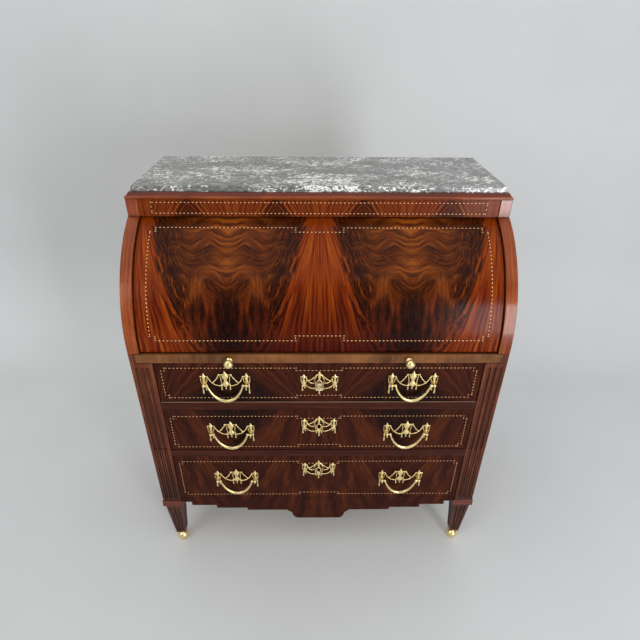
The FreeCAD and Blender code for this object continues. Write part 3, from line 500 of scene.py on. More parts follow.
@dataclass(frozen=True)
class GreyMarble(Finish):
    """Dark grey marble, honed and polished: white threads and flecks in clusters, larger white patches."""

    ground: tuple[str, str] = ("#565552", "#8C8B86")
    vein: str = "#FAF8F2"
    whitest: tuple[float, float, float] = (-10.0, 202.0, 1160.0)
    whitest_reach: float = 150.0
    drawn_out: float = 0.6

    def shade(self, put: Put, place: Socket) -> Node:
        """Polished stone with threads 1 mm wide on a 14 mm mesh, drawn out across the slab in clusters.

        Args:
            put: adds a node to the material.
            place: the piece's own coordinates.

        Returns:
            The shader node.
        """
        bed = put("VectorMath", (place, (self.drawn_out, 1.0, 1.0)), "MULTIPLY")
        clouds = put("TexNoise", (bed, per(70.0), 3.0))
        mottle = put("TexNoise", (bed, per(9.0), 4.0))
        ground = put("ValToRGB", (mottle,), stops=zip((0.35, 0.68), self.ground))
        thread = put("TexNoise", (bed, per(14.0), 4.0, 0.6, None, 1.8))
        centred = put("Math", (thread, 0.5), "SUBTRACT")
        apart = put("Math", (centred,), "ABSOLUTE")
        line = put("MapRange", (apart, 0.002, 0.020, 1.0, 0.0))
        gathered = put("MapRange", (clouds, 0.42, 0.60, 0.10, 1.0), interpolation_type="SMOOTHSTEP")
        threads = put("Math", (line, gathered), "MULTIPLY")
        away = put("VectorMath", (place, row(*self.whitest)), "DISTANCE")
        near = put("MapRange", (away, 0.0, self.whitest_reach * MM, 0.14, 0.0))
        flecks = put("TexNoise", (bed, per(10.0), 2.0, 0.5, None, 1.5))
        crowded = put("Math", (clouds, 0.40, flecks), "MULTIPLY_ADD")
        crowded = put("Math", (crowded, near), "ADD")
        patch = put("MapRange", (crowded, 0.80, 0.83), interpolation_type="SMOOTHSTEP")
        white = put("Math", (threads, patch), "MAXIMUM")
        colour = put("Mix", (white, ground, linear(self.vein)), data_type="RGBA")
        rough = put("MapRange", (mottle, 0.3, 0.7, 0.18, 0.28))
        return put("BsdfPrincipled", {"Base Color": colour, "Roughness": rough, "IOR": 1.55})


@dataclass(frozen=True)
class TooledLeather(Finish):
    """Green goatskin, dyed and waxed: a fine pebbled grain, and two gilt lines tooled round the edge."""

    middle: Pair
    half: Pair
    hide: tuple[str, str] = ("#1D3426", "#2C4B37")
    gilt: str = "#C7A24E"
    lines: tuple[Pair, ...] = ((13.0, 1.6), (19.0, 0.7))

    def shade(self, put: Put, place: Socket) -> Node:
        """Pebbled hide with the gilt lines measured in from its edges.

        Args:
            put: adds a node to the material.
            place: the piece's own coordinates.

        Returns:
            The shader node.
        """
        mottle = put("TexNoise", (place, per(45.0), 4.0))
        hide = put("ValToRGB", (mottle,), stops=zip((0.35, 0.66), self.hide))
        middle, half = ((x * MM, y * MM, 0.0) for x, y in (self.middle, self.half))
        from_middle = put("VectorMath", (place, middle), "SUBTRACT")
        even = put("VectorMath", (from_middle,), "ABSOLUTE")
        inset = put("VectorMath", (half, even), "SUBTRACT")
        x, y, _ = put("SeparateXYZ", (inset,)).outputs
        near = put("Math", (x, y), "MINIMUM")
        gilt: Any = 0.0
        for distance, width in self.lines:
            line = put("Math", (near, distance * MM, width / 2 * MM), "COMPARE")
            gilt = put("Math", (gilt, line), "MAXIMUM")
        colour = put("Mix", (gilt, hide, linear(self.gilt)), data_type="RGBA")
        # The pebble of goatskin is about 1 mm, drawn at 1.8 mm so that it shows
        pebble = put("TexVoronoi", (place, per(1.8)))
        dent = put("Bump", {"Strength": 0.4, "Distance": 0.4 * MM, "Height": pebble})
        return put("BsdfPrincipled",
                   {"Base Color": colour, "Metallic": gilt, "Roughness": 0.45, "Normal": dent})


@dataclass(frozen=True)
class InlayWood(Finish):
    """A slip of boxwood or of stained wood, let in and polished flush: nearly plain, with faint end grain."""

    dark: str = "#E89E60"
    light: str = "#FFCB90"

    def shade(self, put: Put, place: Socket) -> Node:
        """Polished slip with specks about 2 mm apart.

        Args:
            put: adds a node to the material.
            place: the piece's own coordinates.

        Returns:
            The shader node.
        """
        specks = put("TexNoise", (place, per(2.0), 2.0))
        colour = put("ValToRGB", (specks,), stops=((0.3, self.dark), (0.6, self.light)))
        return put("BsdfPrincipled", {
            "Base Color": colour, "Roughness": 0.4, "Specular IOR Level": 0.1, "Coat Weight": 0.1})


@dataclass(frozen=True)
class StudioPaint(Finish):
    """Matt paint of the studio's floor and backdrop: pale, with a faint unevenness."""

    colours: tuple[str, str] = ("#DADBDB", "#DDDEDE")

    def shade(self, put: Put, place: Socket) -> Node:
        """Matt paint, uneven over about 0.4 m.

        Args:
            put: adds a node to the material.
            place: the piece's own coordinates.

        Returns:
            The shader node.
        """
        drift = put("TexNoise", (place, per(400.0), 2.0))
        colour = put("ValToRGB", (drift,), stops=zip((0.35, 0.65), self.colours))
        return put("BsdfPrincipled", {"Base Color": colour, "Roughness": 0.75})


# What the three drawers' veneers share
KNOT_TONES = ("#120604", "#1E0A05", "#321408")
DRAWER_FIGURE = {
    "fan": ("#2A0D06", "#3C170A", "#54260F"), "feather": ("#1D0905", "#2B1006", "#451D0C"),
    "low_tint": "#FFFFFF", "sway": 0.10, "streaks": 18.0}

FLAME_FALL = FlameVeneer(
    "flame_mahogany_fall", round_about=(*FALL_AXIS, FALL_RADIUS), ray_drop=128.0, tooth=0.40, patches=(
        Patch(Figure.CURTAIN, (172.0, 70.0), (44.0, 95.0), ("#240B03", "#4C1C07", "#7A340E")),
        Patch(Figure.CURTAIN, (233.0, 110.0), (34.0, 80.0), ("#190703", "#2B0E04", "#552108")),
        Patch(Figure.BANDS, (233.0, 292.0), (112.0, 118.0), ("#361606", "#6B300C", "#9C5519")),
        Patch(Figure.CURTAIN, (160.0, 158.0), (18.0, 34.0), ("#42190A", "#733510", "#95501A"))))
FLAME_UPPER = FlameVeneer(
    "flame_mahogany_upper_drawer", apex=558.0, hangs=False, flare=(1.15, 0.0, 1.0),
    patches=(Patch(Figure.CURTAIN, (190.0, 670.0), (50.0, 90.0), KNOT_TONES),), **DRAWER_FIGURE)
FLAME_LOWER = FlameVeneer(
    "flame_mahogany_lower_drawers", apex=780.0, flare=(0.72, 0.0, 1.0),
    patches=(Patch(Figure.CURTAIN, (205.0, 580.0), (45.0, 70.0), KNOT_TONES),), **DRAWER_FIGURE)
FLAME_FRIEZE = FlameVeneer(
    "flame_mahogany_frieze", leaf_width=113.0, apex=1000.0, hangs=False, flare=(0.56, 0.0, 1.0), tooth=0.6,
    tooth_pitch=34.0, fan=("#431405", "#702A08", "#A0501A"), feather=("#2E0E04", "#551F06", "#8A400F"),
    low_tint="#FFFFFF", sway=0.08, streaks=42.0)

CORNICE_TONES = ("#64240A", "#8E4013", "#AA561C")
NEST_TONES = ("#4A1F10", "#7A3D1E", "#98552C")
OAK_TONES = ("#8A6A42", "#A28052", "#B6966A")
# The cornice is painted in shade above a height, as under the marble's edge
CORNICE_POLISH_AND_SHADE = {"coat": 0.6, "shade_between": (1152.6, 1154.6)}
BARE_OAK = {"roughness": 0.55, "coat": 0.0, "streak_width": 6.0, "streak_length": 300.0, "pore_width": 1.2,
            "pore_length": 16.0}

# The posts are painted in shade, darker towards the bottom
POST_WOOD = PlainWood("mahogany_upright", Grain.UP, ("#42190E", "#643019", "#86492B"),
                      shade_between=(640.0, 230.0), shade_tint="#A8A09C")
COLLAR_WOOD = PlainWood("mahogany_collar", Grain.ACROSS, ("#4A1C10", "#602818", "#763824"), coat=0.5)
LEG_WOOD = PlainWood("mahogany_leg", Grain.UP, ("#2C110A", "#482015", "#5F3223"))
RAIL_WOOD = PlainWood("mahogany_across", Grain.ACROSS, ("#2A0D05", "#3C1508", "#4F2110"), coat=0.1)
CHEEK_WOOD = PlainWood("mahogany_cheek", Grain.UP, ("#6C2A0E", "#8E4119", "#AA5A28"), coat=0.35,
                       round_about=FALL_AXIS)
BLOCK_WOOD = PlainWood("mahogany_block", Grain.UP, ("#722A0F", "#944118", "#AB5523"), coat=0.8)
SIDE_WOOD = PlainWood("mahogany_side", Grain.UP, SIDE_TONES, streak_width=9.0)
CORNICE_WOOD = PlainWood("mahogany_cornice", Grain.ACROSS, CORNICE_TONES, **CORNICE_POLISH_AND_SHADE)
CORNICE_SIDE_WOOD = PlainWood("mahogany_cornice_sides", Grain.BACK, CORNICE_TONES, **CORNICE_POLISH_AND_SHADE)
SLIDE_WOOD = PlainWood("mahogany_crossbanded", Grain.UP, ("#523018", "#7E4F2A", "#986434"), streak_width=3.0,
                       cloud_share=0.62)
SLIDE_BOARD_WOOD = PlainWood("mahogany_slide_board", Grain.ACROSS, ("#552A14", "#7A4622", "#91592D"))
NEST_ACROSS = PlainWood("mahogany_nest_across", Grain.ACROSS, NEST_TONES)
NEST_UP = PlainWood("mahogany_nest_upright", Grain.UP, NEST_TONES)
OAK_ACROSS = PlainWood("oak_across", Grain.ACROSS, OAK_TONES, **BARE_OAK)
OAK_UP = PlainWood("oak_upright", Grain.UP, OAK_TONES, **BARE_OAK)
OAK_BACK = PlainWood("oak_back_to_front", Grain.BACK, OAK_TONES, **BARE_OAK)
# Pale wood that is a painted highlight on the rail's ledge
LEDGE_HIGHLIGHT_WOOD = PlainWood("mahogany_painted_highlight", Grain.ACROSS, ("#A88068", "#BC967E", "#CCAA92"), 0.5, 0.0, dust_and_shade=0.0)
BRASS = GiltBrass("cast_gilt_brass")
# The key's brass is painted paler than the rest, as lit by the overhead light
LIT_KEY_BRASS = GiltBrass("key_brass_painted_lit", bright="#FFF4D2", tarnish_and_shade="#C2A050", roughness=0.5)
IRON = ForgedIron("oiled_forged_iron")
MARBLE = GreyMarble("polished_grey_marble")
BOXWOOD = InlayWood("boxwood_slip")
STAINED = InlayWood("stained_slip", "#1E0B07", "#2E130B")

# The finish of each node that keeps its own shape
CARCASS_FINISHES: dict[str, Finish] = {
    "apron": FLAME_LOWER, "bottom_board": OAK_ACROSS, "cheeks": CHEEK_WOOD, "cornice_front": CORNICE_WOOD,
    "cornice_sides": CORNICE_SIDE_WOOD, "drawer_partitions": OAK_BACK, "drawer_rails": RAIL_WOOD,
    "drawer_runners": OAK_BACK, "dust_boards": OAK_ACROSS, "fall_pivots": IRON, "frieze_blocks": BLOCK_WOOD,
    "frieze_panel": FLAME_FRIEZE, "front_posts": POST_WOOD, "leg_collars": COLLAR_WOOD, "legs": LEG_WOOD,
    "lower_back_panel": OAK_UP, "marble_top": MARBLE, "nest_back": NEST_ACROSS, "nest_boards": NEST_ACROSS,
    "nest_dividers": NEST_UP, "nest_sides": NEST_UP, "rear_posts": POST_WOOD, "side_panels": SIDE_WOOD,
    "slide_guides": OAK_BACK, "top_board": OAK_ACROSS, "upper_back_panel": OAK_UP,
}


def dress(piece: Piece, *finishes: Finish) -> Piece:
    """Gives a piece its finishes.

    Args:
        piece: a mesh object.
        finishes: one finish for each material slot.

    Returns:
        The same piece.
    """
    piece.data.materials.clear()
    for finish in finishes:
        piece.data.materials.append(finish.make())
    return piece


def place_piece(name: str, mesh: bpy.types.Mesh) -> Piece:
    """Adds an object at the origin for a mesh that holds its own place.

    Args:
        name: the object's name.
        mesh: its mesh.

    Returns:
        The object.
    """
    piece = bpy.data.objects.new(name, mesh)
    bpy.context.scene.collection.objects.link(piece)
    return piece


# ---- patterns along a path ----


Run = Sequence[Vector]


@dataclass(frozen=True)
class PathPattern:
    """Small alike pieces set along runs of a path by Geometry Nodes."""

    title: str
    pitch: float

    def inputs(self) -> dict[str, tuple[str, Any]]:
        """Socket type and value of each named input."""
        raise NotImplementedError

    def parts(self, put: Put, curve: Node, size: Mapping[str, Socket]) -> list[Node]:
        """Adds the nodes that set pieces along the path.

        Args:
            put: adds a node to the pattern's tree.
            curve: the path.
            size: the tree's named inputs.

        Returns:
            The last node of each kind of piece.
        """
        raise NotImplementedError

    def set_along(self, put: Put, links: Mapping[str, Any], material: Socket) -> Node:
        """Sets copies of a piece on points and gives them their material.

        Args:
            put: adds a node to the pattern's tree.
            links: points and piece, and how the copies are chosen, turned and stretched.
            material: the input that holds the material.

        Returns:
            The node with the finished pieces.
        """
        laid = put("GeometryNodeInstanceOnPoints", links)
        real = put("GeometryNodeRealizeInstances", (laid,))
        return put("GeometryNodeSetMaterial", {"Geometry": real, "Material": material})

    def tree(self) -> tuple[bpy.types.GeometryNodeTree, dict[str, Any]]:
        """Builds the tree.

        Returns:
            The tree, and each named input's identifier with its value.
        """
        tree = bpy.data.node_groups.new(self.title, "GeometryNodeTree")
        for way in ("INPUT", "OUTPUT"):
            tree.interface.new_socket("Geometry", in_out=way, socket_type="NodeSocketGeometry")
        values = {}
        for name, (kind, value) in self.inputs().items():
            socket = tree.interface.new_socket(name, in_out="INPUT", socket_type="NodeSocket" + kind)
            values[socket.identifier] = value
        put = partial(add, tree)
        size = put("NodeGroupInput").outputs
        curve = put("GeometryNodeMeshToCurve", (size["Geometry"],))
        whole = put("GeometryNodeJoinGeometry")
        for part in self.parts(put, curve, size):
            tree.links.new(part.outputs[0], whole.inputs[0])
        put("NodeGroupOutput", (whole,))
        return tree, values

    def lay(self, name: str, runs: Sequence[Run]) -> Piece:
        """Lays the pattern along runs and makes the result a plain mesh.

        Args:
            name: the piece's name.
            runs: points of each straight or curved run, in the frame's metres.

        Returns:
            The piece, with no modifier left on it.
        """
        points, edges = [], []
        for run in runs:
            edges += [(len(points) + i, len(points) + i + 1) for i in range(len(run) - 1)]
            points += run
        path = bpy.data.meshes.new(name + "_path")
        path.from_pydata(points, edges, [])
        guide = place_piece(name + "_path", path)
        tree, values = self.tree()
        modifier = guide.modifiers.new(self.title, "NODES")
        modifier.node_group = tree
        for identifier, value in values.items():
            modifier[identifier] = value
        bpy.context.view_layer.update()
        graph = bpy.context.evaluated_depsgraph_get()
        mesh = bpy.data.meshes.new_from_object(guide.evaluated_get(graph), preserve_all_data_layers=True,
                                               depsgraph=graph)
        bpy.data.objects.remove(guide)
        bpy.data.meshes.remove(path)
        bpy.data.node_groups.remove(tree)
        mesh.name = name
        return place_piece(name, mesh)


@dataclass(frozen=True)
class DashedInlay(PathPattern):
    """Boxwood dashes with stained dashes between them, let into a flat or round face."""

    dash: float = 4.6
    width: float = 1.5
    thick: float = 0.4
    axis: Pair | None = None

    def inputs(self) -> dict[str, tuple[str, Any]]:
        """The dashes' sizes, the line that a round face goes round, far behind a flat one, and the woods.

        Returns:
            Socket type and value of each named input.
        """
        centre = row(0, *self.axis) if self.axis else -FAR * OUTWARD
        sizes = {"Pitch": self.pitch, "Dash length": self.dash, "Dash width": self.width,
                 "Thickness": self.thick}
        return {name: ("Float", value * MM) for name, value in sizes.items()} | {
            "Round axis": ("Vector", centre), "Light wood": ("Material", BOXWOOD.make()),
            "Dark wood": ("Material", STAINED.make())}

    def parts(self, put: Put, curve: Node, size: Mapping[str, Socket]) -> list[Node]:
        """Dashes that lie on the face: turned along the run, and square to the line that it goes round.

        Args:
            put: adds a node to the pattern's tree.
            curve: the path.
            size: the tree's named inputs.

        Returns:
            The last node of each kind of piece.
        """
        step = put("Math", (size["Pitch"], 0.5), "MULTIPLY")
        points = put("GeometryNodeResampleCurve", {"Curve": curve, "Length": step}, mode="LENGTH")
        outward = put("VectorMath", (put("GeometryNodeInputPosition"), size["Round axis"]), "SUBTRACT")
        square = put("VectorMath", (outward, (0.0, 1.0, 1.0)), "MULTIPLY")
        turn = put("FunctionNodeAxesToRotation",
                   {"Primary Axis": square, "Secondary Axis": put("GeometryNodeInputTangent")},
                   primary_axis="Z", secondary_axis="X")
        odd = put("Math", (put("GeometryNodeInputIndex"), 2.0), "MODULO")
        even = put("Math", (1.0, odd), "SUBTRACT")
        gap = put("Math", (size["Pitch"], size["Dash length"]), "SUBTRACT")
        woods = []
        for chosen, length, wood in ((even, size["Dash length"], "Light wood"), (odd, gap, "Dark wood")):
            extent = put("CombineXYZ", (length, size["Dash width"], size["Thickness"]))
            slip = put("GeometryNodeMeshCube", {"Size": extent})
            links = {"Points": points, "Selection": chosen, "Instance": slip, "Rotation": turn}
            woods.append(self.set_along(put, links, size[wood]))
        return woods


@dataclass(frozen=True)
class BeadRope(PathPattern):
    """A draped rope of cast brass beads."""

    bead: float = 1.8
    stretch: float = 1.25

    def inputs(self) -> dict[str, tuple[str, Any]]:
        """The beads' sizes and metal."""
        return {"Pitch": ("Float", self.pitch * MM), "Bead radius": ("Float", self.bead * MM),
                "Stretch": ("Vector", (self.stretch, 1.0, 1.0)), "Metal": ("Material", BRASS.make())}

    def parts(self, put: Put, curve: Node, size: Mapping[str, Socket]) -> list[Node]:
        """Beads drawn out a little along the rope.

        Args:
            put: adds a node to the pattern's tree.
            curve: the path.
            size: the tree's named inputs.

        Returns:
            The last node of each kind of piece.
        """
        points = put("GeometryNodeResampleCurve", {"Curve": curve, "Length": size["Pitch"]}, mode="LENGTH")
        turn = put("FunctionNodeAxesToRotation",
                   {"Primary Axis": put("GeometryNodeInputTangent"), "Secondary Axis": OUTWARD},
                   primary_axis="X", secondary_axis="Z")
        ball = put("GeometryNodeMeshUVSphere", {"Segments": 8, "Rings": 6, "Radius": size["Bead radius"]})
        bead = put("GeometryNodeSetShadeSmooth", {"Geometry": ball})
        links = {"Points": points, "Instance": bead, "Rotation": turn, "Scale": size["Stretch"]}
        return [self.set_along(put, links, size["Metal"])]


# ---- cast brasses ----


# Share of a ribbon's width left at its ends, the least radius in millimetres, and the angle of a sharp arris
RIBBON_END = 0.45
POINT = 0.02
SHARP_ANGLE = 48.0


class Casting:
    """One cast or turned brass, made of swept and turned parts, in millimetres about its own place."""

    def __init__(self, x: float, y: float, z: float) -> None:
        """Starts a casting that stands on the face at y, about x and z."""
        self.mesh = bmesh.new()
        self.place = (x, y, z)

    def at(self, u: float, w: float, h: float = 0.0) -> Vector:
        """Point u to the side, w up and h out of the face."""
        x, y, z = self.place
        return row(x + u, y - h, z + w)

    def skin(self, rings: Sequence[Sequence[Vector]], closed: bool = False) -> None:
        """Joins rings of points with faces, and closes the ends unless the rings go round.

        Args:
            rings: rings of equally many points.
            closed: whether the last ring joins the first.
        """
        loops = [[self.mesh.verts.new(p) for p in ring] for ring in rings]
        pairs = list(zip(loops, loops[1:])) + ([(loops[-1], loops[0])] if closed else [])
        for a, b in pairs:
            for i in range(len(a)):
                j = (i + 1) % len(a)
                self.mesh.faces.new((a[i], a[j], b[j], b[i]))
        if not closed:
            self.mesh.faces.new(loops[0])
            self.mesh.faces.new(loops[-1])

    def sweep(self, path: Sequence[Vector], widths: Sequence[float], thick: Sequence[float], sides: int = 8,
              closed: bool = False, facing: Vector = OUTWARD) -> None:
        """Sweeps an oval along a path.

        Args:
            path: points in the frame's metres.
            widths: half width at each point, in millimetres.
            thick: half thickness at each point.
            sides: corners of the oval.
            closed: whether the path is a loop.
            facing: the way the oval's thickness points.
        """
        rings = []
        last = len(path) - 1
        for i, point in enumerate(path):
            before, after = (path[i - 1], path[(i + 1) % len(path)]) if closed else (
                path[max(i - 1, 0)], path[min(i + 1, last)])
            along = (after - before).normalized()
            out = (facing - along * along.dot(facing)).normalized()
            aside = along.cross(out)
            corners = [2 * math.pi * k / sides for k in range(sides)]
            rings.append([point + (aside * widths[i] * math.cos(c) + out * thick[i] * math.sin(c)) * MM
                          for c in corners])
        self.skin(rings, closed)

    def turn(self, profile: Sequence[Pair], base: Vector, axis: Vector = OUTWARD, sides: int = 20,
             lobes: int = 0, lobe_depth: float = 0.0) -> None:
        """Turns a profile about an axis.

        Args:
            profile: radius and distance along the axis at each step.
            base: where the axis starts, in the frame's metres.
            axis: the axis' direction.
            sides: corners of each ring.
            lobes: petals round the ring, or none.
            lobe_depth: how far the petals stand out, against the radius.
        """
        aside = UPWARD if abs(axis.x) > 0.5 else Vector((1.0, 0.0, 0.0))
        across = axis.cross(aside)
        rings = []
        for radius, distance in profile:
            ring = []
            for k in range(sides):
                c = 2 * math.pi * k / sides
                r = max(radius, POINT) * (1 + lobe_depth * math.cos(lobes * c))
                spoke = aside * math.cos(c) * r + across * math.sin(c) * r
                ring.append(base + (axis * distance + spoke) * MM)
            rings.append(ring)
        self.skin(rings)

    def stem(self, u: float, shape: Sequence[Pair], lift: float) -> None:
        """An upright leaf, vase or pediment.

        Args:
            u: place to the side.
            shape: height and half width at each step.
            lift: how far its middle stands off the face.
        """
        self.sweep([self.at(u, w, lift) for w, _ in shape], [half for _, half in shape],
                   [1.4 + 0.24 * half for _, half in shape], 12)

    def bead(self, u: float, w: float, radius: float) -> None:
        """A round bead that stands on the face.

        Args:
            u: place to the side.
            w: place up.
            radius: the bead's radius.
        """
        steps = 6
        profile = [(radius * math.sin(math.pi * i / steps), radius * (1 - math.cos(math.pi * i / steps)))
                   for i in range(steps + 1)]
        self.turn(profile, self.at(u, w), sides=12)

    def tassel(self, u: float, top: float, bottom: float, half: float) -> None:
        """A hanging tassel: a husk, a cord and a drop.

        Args:
            u: place to the side.
            top: its upper end.
            bottom: its lower end.
            half: half width of the drop.
        """
        shape = ((0.0, 0.5), (0.12, 0.95), (0.3, 0.85), (0.42, 0.55), (0.6, 0.7), (0.82, 1.0), (0.95, 0.85),
                 (1.0, 0.3))
        self.sweep([self.at(u, top + (bottom - top) * t, 2.0) for t, _ in shape],
                   [half * s for _, s in shape], [half * s * 0.85 for _, s in shape])

    def rosette(self, u: float, w: float, radius: float, lift: float) -> None:
        """A round boss with eight petals and a button.

        Args:
            u: place to the side.
            w: place up.
            radius: reach of the petals.
            lift: how far it stands out.
        """
        petals = ((0.9, 0.0), (1.0, 0.35), (0.78, 0.7), (0.4, 0.62))
        button = ((0.36, 0.0), (0.4, 0.7), (0.28, 1.0), (0.0, 1.12))
        for shape, sides, lobes, depth in ((petals, 32, 8, 0.09), (button, 12, 0, 0.0)):
            self.turn([(radius * r, lift * h) for r, h in shape], self.at(u, w), OUTWARD, sides, lobes, depth)

    def ribbon(self, points: Sequence[Pair], half: float, lift: float, thick: float) -> None:
        """A cast ribbon or stem through points of the face, tapered at its ends.

        Args:
            points: places to the side and up.
            half: half width.
            lift: how far its middle stands off the face.
            thick: half thickness.
        """
        taper = [RIBBON_END, *[1.0] * (len(points) - 2), RIBBON_END]
        self.sweep([self.at(u, w, lift) for u, w in points], [half * t for t in taper],
                   [thick * t for t in taper])

    def finish(self, name: str, metal: Finish = BRASS) -> Piece:
        """Closes the casting.

        Args:
            name: the piece's name.
            metal: its finish.

        Returns:
            The brass piece, smooth but for its sharp arrises, its faces outward.
        """
        bmesh.ops.recalc_face_normals(self.mesh, faces=self.mesh.faces)
        mesh = bpy.data.meshes.new(name)
        self.mesh.to_mesh(mesh)
        self.mesh.free()
        mesh.shade_smooth()
        mesh.set_sharp_from_angle(angle=math.radians(SHARP_ANGLE))
        return dress(place_piece(name, mesh), metal)


def drape(a: Pair, pull: Pair, b: Pair, steps: int = 14) -> list[Pair]:
    """Points of a rope that hangs from a to b, drawn towards pull."""
    return [tuple(p * (1 - t) ** 2 + 2 * q * t * (1 - t) + r * t ** 2 for p, q, r in zip(a, pull, b))
            for t in (i / steps for i in range(steps + 1))]


@dataclass
class Bureau:
    """What every sub-assembly works with: the loaded frame."""

    frame: dict[str, Any]

    def keep(self, finishes: Mapping[str, Finish]) -> None:
        """Dresses nodes that keep their own shape.

        Args:
            finishes: the finish of each node.
        """
        for node, finish in finishes.items():
            dress(self.frame["nodes"][node], finish)
            log.info("dressed %s with %s", node, finish.name)

    def stand_in(self, piece: Piece, body: str, node: str = "") -> None:
        """Makes a new piece ride on a body.

        Args:
            piece: the new piece.
            body: the body that it moves with.
            node: the node that it stands for, if any.
        """
        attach(piece, body)
        if node:
            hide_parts(node)
        log.info("built %s on %s, %d faces", piece.name, body, len(piece.data.polygons))


class SubAssembly:
    """Pieces that are dressed or built together."""

    def build(self, bureau: Bureau) -> None:
        """Dresses nodes, and builds pieces that ride on their bodies.

        Args:
            bureau: the loaded frame.
        """
        raise NotImplementedError


@dataclass
class InlayPanel(SubAssembly):
    """A dashed line of inlay round a panel, with set-in corners and a middle stretch that is set in too."""

    name: str
    body: str
    half: float
    low: float
    high: float
    middle_half: float = 0.0
    middle_inset: float = 0.0
    notch: float = 9.0
    face: float = 0.0
    axis: Pair | None = None
    radius: float = FALL_RADIUS
    step: float = 12.0
    pitch: float = 10.2
    width: float = 1.3

    def corners(self) -> list[Pair]:
        """Finds the line's corners.

        Returns:
            Places to the side and up, once round the panel.
        """
        middle = (self.low + self.high) / 2
        rise = (self.high - self.low) / 2
        n = self.notch
        quarter = [(self.half, rise - n), (self.half - n, rise - n), (self.half - n, rise)][0 if n else 2:]
        if self.middle_half:
            quarter += [(self.middle_half, rise), (self.middle_half, rise - self.middle_inset)]
        upper = quarter + [(-x, w) for x, w in reversed(quarter)]
        whole = upper + [(x, -w) for x, w in reversed(upper)]
        return [(x, middle + w) for x, w in whole]

    def on_face(self, x: float, s: float) -> Vector:
        """Point of the face.

        Args:
            x: place to the side.
            s: height on a flat face, or length along a round one.

        Returns:
            The point, in the frame's metres.
        """
        if self.axis is None:
            return row(x, self.face, s)
        angle = s / self.radius
        y, z = self.axis
        return row(x, y - self.radius * math.cos(angle), z + self.radius * math.sin(angle))

    def build(self, bureau: Bureau) -> None:
        """Lays the line and makes it ride on the panel's body.

        Args:
            bureau: the loaded frame.
        """
        corners = self.corners()
        runs = []
        for (x0, s0), (x1, s1) in zip(corners, corners[1:] + corners[:1]):
            pieces = max(1, round(abs(s1 - s0) / self.step)) if self.axis else 1
            runs.append([self.on_face(x0 + (x1 - x0) * i / pieces, s0 + (s1 - s0) * i / pieces)
                         for i in range(pieces + 1)])
        pattern = DashedInlay(self.name + "_pattern", self.pitch, width=self.width, axis=self.axis)
        bureau.stand_in(pattern.lay(self.name, runs), self.body)


@dataclass
class Bail(SubAssembly):
    """A hanging crescent bail: a swag between its two pins, widest in the middle, with pairs of beads."""

    name: str
    x: float
    y: float
    z: float
    drop: float = 59.0
    top_half: float = 51.0
    end_width: float = 6.0
    middle_width: float = 11.0
    slope: float = 0.55
    thick: float = 7.0
    pin: float = 4.0
    pin_reach: float = 61.0
    stand_off: float = 14.0
    steps: int = 40
    bead_places: tuple[float, ...] = (0.08, 0.15, 0.41)
    bead_length: float = 0.011
    bead_height: float = 0.07

    def swag(self, half: float, drop: float, share: float) -> Pair:
        """Point of the curve that hangs from both ends.

        Args:
            half: half the distance between the ends.
            drop: how far its lowest point is below them.
            share: how far along the curve, from 0 to 1.

        Returns:
            Place to the side and up, from the middle of the ends.
        """
        t, rest = share, 1 - share
        u = half * (t ** 3 - rest ** 3) + 3 * t * rest * self.slope * half * (t - rest)
        return u, -4 * drop * t * rest

    def build(self, bureau: Bureau) -> None:
        """Casts the bail and hangs it on its body.

        Args:
            bureau: the loaded frame.
        """
        brass = Casting(self.x, self.y, self.z)
        path, widths, thick = [], [], []
        for i in range(self.steps + 1):
            share = i / self.steps
            u0, w0 = self.swag(self.top_half, self.drop, share)
            u1, w1 = self.swag(self.top_half - self.end_width, self.drop - self.middle_width, share)
            path.append(brass.at((u0 + u1) / 2, (w0 + w1) / 2, self.stand_off))
            bead = sum(math.exp(-((abs(share - 0.5) - s) / self.bead_length) ** 2) for s in self.bead_places)
            half = math.hypot(u0 - u1, w0 - w1) / 2
            widths.append(half * (1 - self.bead_height + self.bead_height * bead))
            thick.append(min(self.thick / 2, half * 0.95))
        brass.sweep(path, widths, thick, sides=12)
        eye_start = self.top_half - self.end_width
        pin, reach = self.pin / 2, self.pin_reach - eye_start
        eye = [(0.0, 0.0), (3.0, 0.0), (3.5, 1.0), (3.5, self.end_width - 1.0), (3.0, self.end_width),
               (pin, self.end_width), (pin, reach - 0.5), (pin - 0.5, reach), (0.0, reach)]
        for sign in (1, -1):
            brass.turn(eye, brass.at(sign * eye_start, 0.0, self.stand_off), Vector((sign, 0.0, 0.0)), 14)
        bureau.stand_in(brass.finish(self.name + "_cast"), self.name + "_body", self.name)


